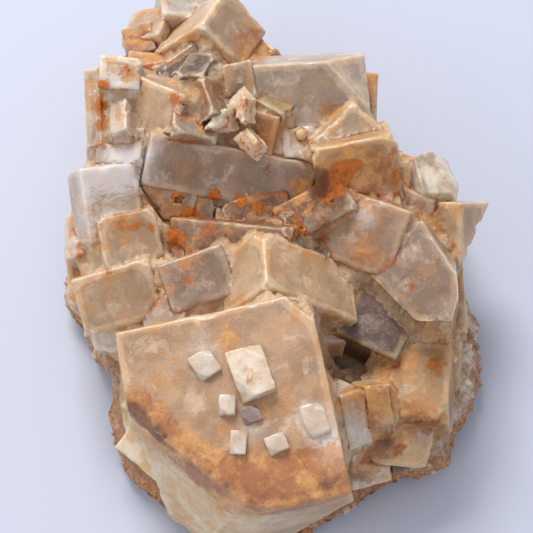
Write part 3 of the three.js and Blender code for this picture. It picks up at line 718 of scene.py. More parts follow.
# The long cube's lower edge is stepped: pits, a gap and a slot where its growth was held back
# by a rusty joint. Centre and size of each, in that cube's own axes.
NOTCHES = [
    ((-8.1, -6.4, 7), (2, 1.6, 1.8)),
    ((-5.6, -10.1, 6.6), (1.2, 1.6, 2.2)),
    ((3.2, -5.2, 7), (10, 0.9, 2.4)),
    ((-0.6, -5.9, 6.8), (2.6, 1.2, 2)),
    ((8.6, -5, 7), (2.2, 1.4, 1.6)),
]
notches = []
for centre, edges in NOTCHES:
    notch = grown_block(edges, 0.05, 0.02, 1, 4)
    slice_mesh(notch, [edge * MM / 2 for edge in edges], 0.5 * MM)
    notch.transform(brick_frame @ Matrix.Translation(Vector(centre) * MM))
    notches.append(named_mesh(notch))
mass = blend_solids("DIFFERENCE", mass, notches)
one_shell(mass)

# Where the mass is stained: with rust, amber staining, dark joints that are partly painted
# shade in the crevices, or milky frost; and where a painted glow of light lightens it low down
# and on shaded faces. Place and radius in millimetres, and strength. Many places were worked
# out by another program from chosen points.
STAINS = {
    "rust": [
        (10.8, 12.4, 30.6, 2.6, 1.35), (13.3, 15.1, 32.6, 2.2, 1.1), (12.3, 12.2, 31.6, 2, 1.1),
        (15.8, 15.8, 33.4, 1.5, 0.9), (12.9, 25.2, 32.4, 1.2, 0.8), (-14.4, 9.6, 26, 1.3, 1.1),
        (-13.3, 9.5, 25.5, 1, 0.9), (-25.1, 31.9, 39.2, 2.2, 0.62), (-29.7, 29, 38.7, 2, 0.9),
        (-30, 27.5, 34.3, 2, 0.9), (-29.8, 23.5, 34, 2, 0.8), (-16, 26.4, 38.2, 2.5, 0.8),
        (-21.8, 10.4, 29.9, 2, 0.8), (-19.3, 10.1, 25.8, 2, 0.9), (6.7, 12.3, 24.5, 2.5, 0.8),
        (-16.2, 11.9, 28.1, 1.2, 1.3), (-9.3, 12.6, 27.7, 1.4, 1.2), (-4.8, 11.7, 27.4, 1.6, 1.1),
        (-1.2, 10.4, 26.7, 1.5, 1), (-12.1, 7.4, 23.2, 3, 0.9), (30.1, -17.8, 19.3, 2.5, 0.8),
        (25.3, -5.7, 27, 2.2, 0.55), (-34.9, -3.6, 17.4, 3, 0.5), (-14, 3.3, 19, 3, 0.7),
        (0.7, 27.5, 25.5, 3, 0.8), (-33.8, 3.2, 22.2, 3, 0.5), (-26, 5.3, 30, 1.2, 0.7),
        (-23.4, 5.5, 29.2, 1.4, 0.8), (-20.8, 5.5, 28.4, 1.4, 0.8), (-16.5, 5.5, 25, 1.8, 0.9),
        (-10.1, 5.5, 27.7, 2, 0.8), (6, 5.5, 27.6, 1.6, 0.6), (23.5, 14.4, 31.8, 1.6, 0.9),
        (22.9, 17.6, 35.2, 1.4, 0.7), (23.6, -31.3, 14.3, 1.5, 0.8),
    ],
    "amber": [
        (16.9, 14, 32, 3.5, 1), (20.2, 15, 33, 3.5, 0.8), (14.5, 16, 34, 2.6, 0.7),
        (11.6, 27, 33, 2.2, 1.2), (-18.1, 10.2, 27.5, 2, 0.9), (-21, 11.9, 29, 1.6, 0.8),
        (-1.1, -43.5, 34.3, 5, 1.3), (5.4, -43.7, 35, 5, 1.3), (10.3, -42.3, 35.6, 5, 1.1),
        (-6, -19.5, 36.8, 2.4, 0.9), (-1.2, -32.6, 35.8, 2, 0.9), (3.9, -13.4, 38.7, 4, 0.5),
        (-24.6, 31.4, 39.2, 2.2, 0.6), (6.1, 15, 27, 2.2, 0.9), (-14.8, 9.7, 25.9, 2.2, 1),
        (22.7, 17.4, 30.1, 3.5, 0.6), (21.7, 12.6, 31.5, 3, 0.6), (19.7, -25.8, 22, 4, 0.7),
        (-3, 2.8, 25.1, 4, 0.8), (-0.8, -1.7, 29.2, 3, 0.6), (31.4, 8, 24.8, 4, 0.4),
        (29.9, -7.2, 14.4, 4, 0.7), (18.3, -34.5, 12.7, 4, 0.5), (-22.8, 47.1, 26.2, 4, 0.7),
        # The spot at (-7.7, -44.6, 27.3) darkens the biggest cube's front towards the bottom: painted
        # shade.
        (-3.1, 45.6, 26.8, 4, 0.7), (-7.7, -44.6, 27.3, 6, 0.7), (-21.4, -33.6, 25.8, 4, 0.7),
        (-3.1, 43.6, 28, 4, 0.9), (27, -26.9, 17.6, 3.5, 1), (16.1, -24.2, 25, 3, 0.9),
        (20.9, -29.9, 15.5, 2.5, 1.2), (29.9, -16.5, 19.9, 3, 0.5), (16.4, -34.8, 13.7, 2, 1.2),
        (11.3, -19.5, 18, 3, 0.9), (17, 3, 26, 3.5, 0.6),
    ],
    # Dark brown spots: burnt and rusty patches, and painted shade in crevices and low on the biggest
    # cube's front.
    "dark": [
        (8.6, 12.8, 30.8, 2.4, 1.5), (9.8, 15.2, 31.9, 1.8, 1), (12, -44.5, 35, 4, 0.4),
        (-18.2, 10.2, 19.4, 3, 0.8), (-7.7, -44.6, 27.3, 5, 0.3), (-18.6, 4.6, 26.5, 1.6, 0.9),
        (24.2, 15.6, 30, 0.9, 1), (15.5, -22.5, 24, 2, 0.7), (21.5, -30, 15, 1.6, 0.8),
        (23.8, -33.5, 10, 2, 0.9),
    ],
    "milk": [
        (7.9, -33.1, 36.6, 3.5, 0.8), (9.5, -37.5, 36, 3.5, 0.6), (-2.5, -35.5, 35.5, 4, 0.5),
        (-18, -24, 35, 4, 0.35), (-27.4, 14.4, 35, 5, 0.8), (-22.9, 16.1, 34.2, 5, 0.8),
        (-11.1, -21.4, 36.1, 5, 0.5), (-26.4, -28.4, 9, 8, 0.6), (-21.2, -33, 4.1, 8, 0.6),
        (21.3, 11.8, 29.2, 2.5, 0.8), (14.4, -28.8, 22.7, 2.5, 0.45), (17.1, -31.3, 19.5, 2.5, 0.5),
        (27.2, -27.9, 15.2, 2.2, 0.9), (11.9, -39.9, 36.1, 3.2, 1), (18.5, 8.5, 28.5, 3.5, 0.9),
    ],
    # Painted glow of light: spots that lighten faces low on the front and in the shaded corner.
    "warm": [
        (-18.7, -37.5, 14, 8, 1), (-13.2, -41.7, 18, 8, 1), (-7.9, -45.6, 19, 7, 0.9),
        (-1.1, -47.4, 22, 7, 0.7), (-23.6, -30.3, 9, 9, 1), (-21.5, -31.5, 24, 6, 0.9),
        (5.7, -46, 20, 7, 0.5), (19, -27, 16, 6, 0.8), (27, -20, 14, 6, 0.6), (22, -30, 10, 6, 0.8),
    ],
}
# A burnt band follows the fracture across the biggest cube's front.
BURNT_BAND = [
    (-22.6, -31.2, 33.7), (-20.8, -33.1, 33.3), (-18.1, -35.4, 33.2), (-15.6, -37.5, 32.0),
    (-12.8, -39.9, 31.4), (-10.1, -42.1, 32.1), (-6.6, -44.3, 33.7), (-3.5, -45.4, 33.9),
    (-0.4, -46.3, 34.0), (3.0, -46.6, 34.4), (6.2, -45.7, 34.8), (9.4, -44.7, 35.2),
]
STAINS["amber"] += [(*spot, 3.8, 1.2) for spot in BURNT_BAND]
STAINS["dark"] += [(*spot, 1.7, 0.55) for spot in BURNT_BAND]
STAINS["dark"] += [(*spot, 1.8, 0.7) for spot in BURNT_BAND[:3]]

# What each corner of the mesh knows: its place in its own cube, how far the cube's edge and
# the joint with the next cube are, how stained, frosted or broken it is, and how much painted
# shade and painted glow of light it gets.
NO_EDGE = 9.0
spots = read(mass.vertices, "co", 3).astype(float) / MM
rows = list(CUBES.values())
centres = np.array([row[0] for row in rows]) + SHIFT
halves = np.array([row[1] for row in rows]) / 2
turnings = np.array([np.array(turned(row[2])) for row in rows])
gaps = []
for centre, half, turning, row in zip(centres, halves, turnings, rows):
    own = (spots - centre) @ turning
    past = np.abs(own) - half
    gap = np.linalg.norm(np.maximum(past, 0), axis=1) + np.minimum(past.max(axis=1), 0)
    for normal, point in row[6]:
        gap = np.maximum(gap, (own - point) @ (np.array(normal) / np.linalg.norm(normal)))
    gaps.append(gap)
gaps = np.array(gaps)
nearest = gaps.argmin(axis=0)
first = gaps.min(axis=0)
gaps[nearest, np.arange(len(spots))] = np.inf
second = gaps.min(axis=0)

corner_vert = read(mass.loops, "vertex_index", 1, np.int32)
sides = read(mass.polygons, "loop_total", 1, np.int32)
owner = np.repeat(np.rint(read(mass.attributes["cube"].data, "value", 1)).astype(int), sides)
bare = owner < 0
at = spots[corner_vert]
seam = np.where(nearest[corner_vert] == owner, second[corner_vert], first[corner_vert])
seam = np.maximum(seam, 0)
own = np.einsum("ni,nij->nj", at - centres[owner], turnings[owner])
edge = np.full(len(own), NO_EDGE)
broken = np.ones(len(own))
for number, (row, chipped) in enumerate(zip(rows, cleavages)):
    mine = owner == number
    inner = (halves[number] - np.abs(own[mine])).T
    walls = [(np.array(point) - own[mine]) @ (np.array(normal) / np.linalg.norm(normal))
             for normal, point in row[6] + chipped]
    edge[mine] = np.sort(np.array(list(inner) + walls), axis=0)[1]
    wound = np.min([np.full(mine.sum(), NO_EDGE)] + walls[:len(row[6])], axis=0)
    deep = np.clip((inner.min(axis=0) - 0.5) / 0.6, 0, 1)
    # Only the biggest cube broke with an uneven face.
    broken[mine] = deep * (wound < 0.5) * (number == 0)
own[bare] = at[bare]

near_one = np.where(bare, nearest[corner_vert], owner)
rusting = np.array([row[4] for row in rows])[near_one]
frost = np.array([row[5] for row in rows])[near_one]
tint = np.array([linear(*SHADES[row[3]])[:3] for row in rows])[near_one]
face_normals = np.repeat(read(mass.polygons, "normal", 3), sides, axis=0)
facing = np.einsum("ni,nij->nj", face_normals, turnings[owner])
facet = 2 * np.abs(facing).argmax(axis=1) + (facing.sum(axis=1) > 0)
tint[bare] = 0.5 * tint[bare] + 0.5 * np.array(linear(*SHADES["cream"])[:3])
# Each face of each cube is a little lighter or darker than the next.
lightness = np.random.default_rng(5).uniform(0.93, 1.24, (len(rows), 6))
tint = tint * lightness[near_one, np.where(bare, 0, facet)][:, None]
patchy = grain_noise(spots, 0.16)[corner_vert]
fine = grain_noise(spots, 0.5, 7.0)[corner_vert]
# How far each stain, and the painted shade in each joint, spreads from a joint, in millimetres.
RUST_REACH, AMBER_REACH, DARK_STAIN_AND_SHADE_REACH = 0.8, 2.6, 0.35
fields = {
    "rust": (rusting * np.exp(-seam / RUST_REACH) * np.clip(0.3 + 1.3 * patchy + 0.5 * fine, 0, 1.2)
             * (1 - 0.5 * bare)),
    "amber": rusting * np.exp(-seam / AMBER_REACH) * np.clip(0.6 + 1.3 * patchy, 0, 1.2),
    # Dark brown in each joint: partly dirt, partly painted shade in the crevice.
    "dark": np.exp(-seam / DARK_STAIN_AND_SHADE_REACH) * np.clip(0.35 + 0.9 * patchy, 0, 0.9) * (1 - bare),
    "milk": frost * np.clip(0.5 + 0.8 * grain_noise(spots, 0.11, 31.0)[corner_vert], 0, 1),
    # A painted glow of light, stronger the lower the corner lies.
    "warm": np.clip(0.9 - 0.09 * (at[:, 2] - 4), 0, 0.55),
}
for kind, rows_of_kind in STAINS.items():
    for *place, radius, strength in rows_of_kind:
        away = np.linalg.norm(at - (np.array(place) + SHIFT), axis=1) / radius
        fields[kind] += strength * np.exp(-away ** 2)
for name, kind, values in (
    ("place", "FLOAT_VECTOR", own),
    ("tint", "FLOAT_COLOR", np.c_[tint, np.ones(len(tint))]),
    ("near", "FLOAT_VECTOR", np.c_[edge, seam, broken]),
    ("stain", "FLOAT_VECTOR", np.c_[fields["rust"], fields["amber"], fields["dark"]]),
    ("glaze", "FLOAT_VECTOR", np.c_[fields["milk"], frost, rusting]),
    ("depth", "FLOAT_VECTOR", np.c_[fields["warm"], bare, np.zeros(len(bare))]),
):
    data = mass.attributes.new(name, kind, "CORNER").data
    field = "color" if kind == "FLOAT_COLOR" else "vector"
    data.foreach_set(field, values.astype(np.float32).ravel())


def over_corners(values, start, choose):
    """One value for each vertex, chosen among the values of its corners."""
    chosen = np.full(len(spots), start)
    choose.at(chosen, corner_vert, values)
    return chosen


# Chipped edges, uneven broken faces, a crust of rust and a little overall unevenness. The
# depths are in millimetres.
EDGE_LOSS, EDGE_REACH = 0.65, 0.8
CRUST_DEPTH = 0.25
WAVER_DEPTH = 0.12
DRUSE_TOP = 15
SHARP_ANGLE = math.radians(32)
normals = read(mass.vertices, "normal", 3)
edge_at = over_corners(edge, NO_EDGE, np.minimum)
broken_at = over_corners(broken, 0.0, np.maximum)
rust_at = over_corners(fields["rust"], 0.0, np.maximum)
chips = np.clip(grain_noise(spots, 0.45, 3.0) * 2.2 - 0.35, 0, 1)
inward = EDGE_LOSS * chips * np.clip(1 - edge_at / EDGE_REACH, 0, 1)
rough = broken_at * (0.35 * grain_noise(spots, 0.5, 11.0) + 0.25 * grain_noise(spots, 1.2, 17.0))
crust = CRUST_DEPTH * np.clip(rust_at, 0, 1) * (0.6 + grain_noise(spots, 1.3, 23.0))
shift = (rough + crust - inward)[:, None] * normals
waver = np.c_[grain_noise(spots, 0.3, 41.0), grain_noise(spots, 0.3, 53.0),
              grain_noise(spots, 0.3, 61.0)]
move_corners(mass, spots + shift + WAVER_DEPTH * waver)

# Where crumbs of rust and small late cubes may grow.
core_numbers = [number for number, name in enumerate(CUBES) if name.startswith("core_")]
low_bed = over_corners((bare | np.isin(owner, core_numbers)).astype(float), 0.0, np.maximum)
druse = low_bed * (normals[:, 2] > -0.3) * (spots[:, 2] < DRUSE_TOP)
for name, values in (("rusty", np.clip(rust_at - 0.35, 0, 1)), ("druse", druse)):
    mass.attributes.new(name, "FLOAT", "POINT").data.foreach_set("value", values.astype(np.float32))
mass.update()
mass.shade_smooth()
mass.set_sharp_from_angle(angle=SHARP_ANGLE)
mass.materials.clear()
mass.materials.append(fluorite)

fluorite_mass = bpy.data.objects.new("fluorite_cubes", mass)
bpy.context.collection.objects.link(fluorite_mass)
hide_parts("fluorite_mass")
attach(fluorite_mass, "root")

# The look of the mass. Its patterns run along each cube's own axes, in millimetres.
bench = fluorite_bench
place = bench.attribute("place", 1)
tint = bench.attribute("tint", 0)
edge, seam, broken = bench.split(bench.attribute("near", 1))
rust, amber, dark = bench.split(bench.attribute("stain", 1))
milk, frost, rusting = bench.split(bench.attribute("glaze", 1))
# The first part of depth is the painted glow of light; the second is the massive fluorite.
warm, massive = bench.split(bench.attribute("depth", 1))[:2]
warp = bench.node("ShaderNodeTexNoise", None, place, Scale=0.35, Detail=2.0, out=1)
drift = bench.vector("SCALE", bench.vector("SUBTRACT", warp, (0.5, 0.5, 0.5)), Scale=5.0)
swirl = bench.vector("ADD", place, drift)
cloud = bench.noise(swirl, 0.15, 3.0)
veil = bench.noise(bench.vector("ADD", swirl, (31.0, 7.0, 3.0)), 0.22, 5.0, 0.66)
honey = bench.noise(bench.vector("ADD", swirl, (5.0, 23.0, 13.0)), 0.19, 5.0, 0.66)
mottle = bench.noise(place, 0.8, 5.0, 0.66)
grit = bench.noise(place, 4.2, 4.0, 0.7)
streak = bench.noise(bench.vector("MULTIPLY", place, (2.6, 2.6, 0.12)), 1.0, 3.0)
bent = bench.vector("ADD", place, bench.vector("SCALE", drift, Scale=0.7))
feather = bench.noise(bench.vector("MULTIPLY", bent, (0.5, 1.9, 0.7)), 1.0, 6.0, 0.7)
speck = 1.0 - bench.ramp(bench.node("ShaderNodeTexVoronoi", None, place, Scale=1.5), 0.06, 0.3)
speck = speck * bench.ramp(grit, 0.35, 0.6)
pore = 1.0 - bench.ramp(bench.node("ShaderNodeTexVoronoi", None, swirl, Scale=2.1), 0.04, 0.26)
pore = pore * bench.ramp(mottle, 0.42, 0.62)
zone = bench.ramp(edge + (cloud - 0.5) * 1.6, 1.0, 1.35) * (1.0 - massive)
band = zone * (1.0 - bench.ramp(edge + (cloud - 0.5) * 1.6 + (mottle - 0.5) * 0.8, 1.2, 1.9))
# A painted glow of light through each cube's thin edges, paler and yellower near the edge.
rim = 1.0 - bench.ramp(edge + (mottle - 0.5) * 1.4, 0.15, 1.5)
# Worn white edges: partly chipped wear, partly painted highlight.
worn_edge_and_highlight = (1.0 - bench.ramp(edge + (grit - 0.5) * 0.6, 0.02, 0.4)) * bench.ramp(mottle, 0.36, 0.56)

# The cloudy body, darker zones inside each face, pale veils, honey clouds and a painted glow
# of light along each cube's rim.
colour = bench.blend(bench.ramp(cloud, 0.3, 0.7), bench.times(tint, linear(252, 250, 246)),
                     bench.times(tint, linear(212, 202, 192)))
colour = bench.blend(zone * 0.5, colour, bench.times(colour, linear(206, 200, 198)))
pale_tint = bench.blend(0.35, tint, linear(240, 230, 218))
colour = bench.blend(bench.ramp(veil, 0.52, 0.68) * 0.7, colour, pale_tint)
colour = bench.blend(bench.ramp(1.0 - honey, 0.54, 0.68) * 0.45, colour, linear(162, 148, 138))
honey_share = bench.ramp(honey, 0.53, 0.64) * (0.12 + rusting * 0.75)
colour = bench.blend(honey_share, colour, linear(218, 150, 70))
massive_share = massive * (0.1 + bench.ramp(veil, 0.45, 0.6) * 0.5)
colour = bench.blend(massive_share, colour, linear(236, 210, 176))
colour = bench.blend(bench.ramp(streak, 0.52, 0.75) * 0.15, colour, linear(214, 196, 172))
band_share = band * bench.ramp(honey, 0.46, 0.56) * 0.6
colour = bench.blend(band_share, colour, linear(214, 150, 82))
rim_glow_colour = bench.blend(bench.ramp(honey, 0.42, 0.58), linear(238, 220, 194),
                         linear(228, 178, 112))
colour = bench.blend(rim * bench.ramp(cloud, 0.36, 0.62) * 0.5, colour, rim_glow_colour)
colour = bench.blend(pore * 0.6, colour, bench.times(colour, linear(164, 148, 136)))
colour = bench.blend(speck * bench.ramp(mottle, 0.4, 0.6) * 0.5, colour, linear(240, 230, 218))
colour = bench.blend(bench.ramp(grit, 0.48, 0.7) * 0.4, colour,
                     bench.times(colour, linear(182, 168, 156)))

# Milky frost, a painted glow of light that lightens faces low down and in shade, and worn
# white edges that are partly painted highlights.
feathered = milk + (feather - 0.5) * (frost * frost * 2.6) + (veil - 0.5) * 1.2
whiteness = bench.ramp(feathered, 0.3, 1.15) * 0.8
colour = bench.blend(whiteness, colour, linear(237, 229, 226))
# Painted glow of light: low and shaded faces made lighter and creamier.
painted_glow_share = bench.ramp(warm + (cloud - 0.5) * 0.8, 0.15, 0.9) * 0.75
painted_glow_colour = bench.blend(bench.ramp(veil, 0.35, 0.65), linear(232, 190, 128),
                          linear(246, 230, 204))
colour = bench.blend(painted_glow_share, colour, painted_glow_colour)
colour = bench.blend(worn_edge_and_highlight * 0.6, colour, linear(246, 236, 220))

# Iron stains: amber clouds, a brown line in each joint, rust on top, and dark brown in burnt
# patches and joints that is partly painted shade in crevices and low on the biggest cube's front.
amber_share = bench.ramp(amber + (mottle - 0.5) * 2.2 + (honey - 0.5) * 1.4, 0.35, 0.95)
amber_colour = bench.blend(bench.ramp(honey + (grit - 0.5) * 0.3, 0.38, 0.66),
                           linear(170, 98, 42), linear(232, 176, 108))
colour = bench.blend(amber_share * 0.8, colour, amber_colour)
line = (1.0 - bench.ramp(seam + (mottle - 0.5) * 1.2, 0.05, 0.55)) * (1.0 - massive * 0.6)
line = line * bench.ramp(rusting + (honey - 0.5) * 3.0, 0.3, 0.9)
colour = bench.blend(line * 0.85, colour, linear(172, 86, 30))
rust_share = bench.ramp(rust + (grit - 0.5) * 1.2 + (mottle - 0.5) * 1.2, 0.5, 0.75)
rust_colour = bench.blend(bench.ramp(grit * 0.6 + mottle * 0.4, 0.37, 0.55),
                          linear(122, 52, 18), linear(238, 136, 38))
colour = bench.blend(rust_share, colour, rust_colour)
# Dark brown: burnt patches and joint dirt, partly painted shade in crevices and low on the front.
dark_stain_and_shade_share = bench.ramp(dark + (mottle - 0.5) * 0.8, 0.3, 0.9)
colour = bench.blend(dark_stain_and_shade_share * 0.8, colour, linear(92, 54, 34))
colour = bench.blend(1.0 - whiteness, colour, linear(255, 250, 238), "MULTIPLY")

# Low square terraces, grit, feathery frost, broken faces and the grain of rust, as relief.
terrace = bench.node("ShaderNodeTexVoronoi", {"distance": "CHEBYCHEV"}, place,
                     Scale=0.24, out=1)
height = grit * 0.08 + bench.split(terrace)[0] * (1.0 - massive) * 0.035
height = height + feather * frost * frost * 0.04 + mottle * 0.09 + broken * mottle * 0.5
height = height + speck * 0.05 + rust_share * grit * 0.5 + streak * 0.04 - pore * 0.06
height = height + massive * mottle * 0.25
rough = 0.26 + mottle * 0.25 + rust_share * 0.45 + broken * 0.1 + massive * 0.2
bench.node("ShaderNodeOutputMaterial", None, bench.node(
    "ShaderNodeBsdfPrincipled", None, Base_Color=colour, Roughness=rough, IOR=FLUORITE_IOR,
    Normal=bench.bump(0.8, MM, height), Transmission_Weight=0.18, Subsurface_Weight=0.6,
    Subsurface_Radius=(1.0, 0.78, 0.58), Subsurface_Scale=0.0018,
    Coat_Weight=0.3 - massive * 0.2, Coat_Roughness=0.12))

# ---------------------------------------------------------------- small pieces in the joints
# Crumbs of limonite stuck in the rusty joints, and small late cubes of fluorite low on the
# massive bed. Both are grown over the mass by Geometry Nodes, where its attributes say so.

crumb_look, bench = new_look("limonite_crumb")
place = bench.node("ShaderNodeTexCoord", None, out=3)
shade = bench.attribute("shade", 2)
grit = bench.noise(place, 2200.0, 3.0)
colour = bench.blend(bench.ramp(shade + (grit - 0.5) * 0.6, 0.1, 0.9),
                     linear(104, 52, 24), linear(214, 138, 66))
bench.node("ShaderNodeOutputMaterial", None, bench.node(
    "ShaderNodeBsdfPrincipled", None, Base_Color=colour, Roughness=0.85,
    Normal=bench.bump(0.7, 0.2 * MM, grit)))

small_cube_look, bench = new_look("small_fluorite")
place = bench.node("ShaderNodeTexCoord", None, out=3)
shade = bench.attribute("shade", 2)
mottle = bench.noise(place, 900.0, 4.0)
colour = bench.blend(bench.ramp(shade, 0.0, 1.0), bench.attribute("tint", 0),
                     linear(208, 180, 150))
colour = bench.blend(bench.ramp(mottle, 0.45, 0.75) * 0.5, colour, linear(196, 136, 76))
bench.node("ShaderNodeOutputMaterial", None, bench.node(
    "ShaderNodeBsdfPrincipled", None, Base_Color=colour, Roughness=0.35 + mottle * 0.3,
    IOR=FLUORITE_IOR, Subsurface_Weight=0.5, Subsurface_Radius=(1.0, 0.62, 0.4),
    Subsurface_Scale=0.0012, Normal=bench.bump(0.6, 0.2 * MM, mottle)))


def scatter_tree(name, grain, material):
    """Grains of one kind, thrown over a surface where its own attribute allows them."""
    tree, bench, inlet = geometry_tree(name, {
        "Surface": "Geometry", "Where": "String", "Density": "Float", "Smallest": "Float",
        "Largest": "Float", "Sink": "Float", "Seed": "Int",
    })
    allowed = bench.node("GeometryNodeInputNamedAttribute", {"data_type": "FLOAT"}, inlet["Where"])
    points = bench.node("GeometryNodeDistributePointsOnFaces", {"distribute_method": "RANDOM"},
                        inlet["Surface"], Density=allowed * inlet["Density"], Seed=inlet["Seed"])
    normal = Wire(tree, points.socket.node.outputs["Normal"])
    size = bench.node("FunctionNodeRandomValue", {"data_type": "FLOAT"},
                      Seed=inlet["Seed"] + 3.0, out=1)
    size = inlet["Smallest"] + size * size * (inlet["Largest"] - inlet["Smallest"])
    points = bench.node("GeometryNodeSetPosition", None, points,
                        Offset=bench.vector("SCALE", normal, Scale=size * inlet["Sink"]))
    spin = bench.node("FunctionNodeRandomValue", {"data_type": "FLOAT_VECTOR"}, (0.0, 0.0, 0.0),
                      (6.28, 6.28, 6.28), Seed=inlet["Seed"] + 4.0)
    shape = bench.node("FunctionNodeRandomValue", {"data_type": "FLOAT_VECTOR"}, (0.6, 0.6, 0.6),
                       (1.15, 1.15, 1.15), Seed=inlet["Seed"] + 5.0)
    copies = bench.node("GeometryNodeInstanceOnPoints", None, points, Instance=grain(bench),
                        Rotation=spin, Scale=bench.vector("SCALE", shape, Scale=size))
    shade = bench.node("FunctionNodeRandomValue", {"data_type": "FLOAT"},
                       Seed=inlet["Seed"] + 6.0, out=1)
    copies = bench.node("GeometryNodeStoreNamedAttribute",
                        {"data_type": "FLOAT", "domain": "INSTANCE"},
                        copies, Name="shade", Value=shade)
    finish_tree(bench, copies, material)
    return tree


def crumb(bench):
    """A rounded grain, one across."""
    return bench.node("GeometryNodeMeshIcoSphere", None, 0.5, 1)


def little_cube(bench):
    """A cube with worn edges, one across."""
    return worn_block(bench, (1.0, 1.0, 1.0), 0.06)


def scattered(surface, tree, where, density, sizes, sink, seed):
    """The grains of one tree thrown over a surface, kept inside the specimen's box."""
    mesh = run_tree(tree, {
        "Where": where, "Density": density, "Smallest": sizes[0] * MM, "Largest": sizes[1] * MM,
        "Sink": sink, "Seed": seed,
    }, start=surface.copy())
    move_corners(mesh, read(mesh.vertices, "co", 3).astype(float) / MM)
    return mesh


# Grains per square metre, and their smallest and largest size in millimetres.
for name, where, density, sizes, sink, grain, look, seed in (
    ("rust_crumbs", "rusty", 5.0e5, (0.15, 0.55), 0.0, crumb, crumb_look, 3),
    ("small_cubes", "druse", 3.0e4, (1.0, 3.2), -0.2, little_cube, small_cube_look, 8),
):
    tree = scatter_tree(name, grain, look)
    mesh = scattered(mass, tree, where, density, sizes, sink, seed)
    piece = bpy.data.objects.new(name, mesh)
    bpy.context.collection.objects.link(piece)
    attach(piece, "root")

# ---------------------------------------------------------------- late pieces
# Pieces that grew last or lodged in the joints: small cream blocks on the biggest cube's top,
# jagged fragments of a cream mineral, a yellow grain and one clear crystal. Each is its own
# solid with worn edges and an uneven skin, and sits in its seat.


def finished_copy(name, cell, wear, jagged, planes=(), sunk=0.0):
    """A node's own solid with worn edges and an uneven skin, a little sunk into its seat.

    Each plane takes away its share of the solid's width along the plane's normal.
    """
    mesh = node_copy(name)
    work = bmesh.new()
    work.from_mesh(mesh)
    bmesh.ops.dissolve_limit(work, angle_limit=0.02, verts=work.verts, edges=work.edges)
    for normal, share in planes:
        outward = Vector(normal)
        reach = max(v.co @ outward for v in work.verts)
        least = min(v.co @ outward for v in work.verts)
        left = reach - share * (reach - least)
        cut_away(work, outward * left / outward.length_squared, outward)
    bmesh.ops.bevel(work, geom=work.edges[:], offset=wear * MM, segments=2, affect="EDGES",
                    clamp_overlap=True, profile=0.6)
    bmesh.ops.triangulate(work, faces=work.faces)
    bmesh.ops.recalc_face_normals(work, faces=work.faces)
    work.to_mesh(mesh)
    work.free()
    slice_whole(mesh, cell * MM)
    spots = read(mesh.vertices, "co", 3) / MM
    normals = read(mesh.vertices, "normal", 3)
    ridged = 0.6 - 1.6 * np.abs(grain_noise(spots, 0.5, 4.0))
    rise = jagged * (ridged + 0.5 * grain_noise(spots, 1.7, 9.0))
    seat = np.array(turned(CUBES["front_cube"][2]))[:, 2]
    spots += rise[:, None] * normals - sunk * seat
    mesh.vertices.foreach_set("co", (spots * MM).astype(np.float32).ravel())
    mesh.shade_smooth()
    mesh.set_sharp_from_angle(angle=math.radians(30))
    mesh.materials.clear()
    return mesh


def late_look(name, body, veil, stain, share, clear):
    """Cloudy late mineral: a body colour with pale veils and a share of rusty stain."""
    look, bench = new_look(name)
    place = bench.node("ShaderNodeTexCoord", None, out=3)
    cloud = bench.noise(place, 330.0, 4.0, 0.6)
    vein = bench.noise(bench.vector("MULTIPLY", place, (1.0, 0.45, 1.0)), 620.0, 5.0, 0.65)
    grit = bench.noise(place, 2600.0, 3.0)
    colour = bench.blend(bench.ramp(cloud, 0.35, 0.65), linear(*body), linear(*veil))
    stained = bench.ramp(vein, 0.66 - share * 0.3, 0.78 - share * 0.3)
    colour = bench.blend(stained, colour, linear(*stain))
    deeper = linear(*(0.86 * c for c in body))
    colour = bench.blend(bench.ramp(grit, 0.5, 0.8) * 0.3, colour, deeper)
    bench.node("ShaderNodeOutputMaterial", None, bench.node(
        "ShaderNodeBsdfPrincipled", None, Base_Color=colour, Roughness=0.25 + grit * 0.25,
        IOR=FLUORITE_IOR, Transmission_Weight=clear, Subsurface_Weight=0.7,
        Subsurface_Radius=(1.0, 0.7, 0.45), Subsurface_Scale=0.0018, Coat_Weight=0.3,
        Coat_Roughness=0.1, Normal=bench.bump(0.7, 0.3 * MM, cloud + vein + grit * 0.4)))
    return look


# Body, veil and stain colours, 0-255, the share of stain and how see-through it is.
cream_look = late_look(
    "cream_block", (226, 198, 168), (242, 226, 204), (216, 156, 100), 0.35, 0.2)
faint_look = late_look(
    "faint_block", (224, 198, 174), (240, 224, 206), (206, 150, 104), 0.2, 0.3)
mauve_look = late_look(
    "mauve_block", (158, 132, 126), (180, 156, 148), (190, 130, 84), 0.2, 0.3)
fragment_look = late_look(
    "cream_fragment", (236, 200, 160), (250, 232, 208), (206, 126, 64), 0.5, 0.2)
grain_look = late_look(
    "yellow_grain", (230, 186, 120), (242, 208, 154), (212, 160, 90), 0.1, 0.3)

# Clear fluorite: glassy, faintly yellow with depth, with cloudy patches.
clear_look, bench = new_look("clear_fluorite")
place = bench.node("ShaderNodeTexCoord", None, out=3)
cloud = bench.noise(place, 300.0, 4.0, 0.6)
grit = bench.noise(place, 1500.0, 4.0)
cloud_colour = bench.blend(cloud, linear(240, 218, 190), linear(250, 236, 218))
cloudy = bench.node(
    "ShaderNodeBsdfPrincipled", None, Base_Color=cloud_colour, Roughness=0.15,
    IOR=FLUORITE_IOR, Subsurface_Weight=0.8, Subsurface_Radius=(1.0, 0.8, 0.6),
    Subsurface_Scale=0.002, Coat_Weight=0.8, Coat_Roughness=0.03)
glassy = bench.node(
    "ShaderNodeBsdfPrincipled", None, Base_Color=linear(254, 246, 232), Roughness=0.04,
    IOR=FLUORITE_IOR, Transmission_Weight=1.0, Normal=bench.bump(0.25, 0.3 * MM, grit + cloud))
cloudiness = bench.ramp(cloud, 0.36, 0.62) * 0.45 + 0.25
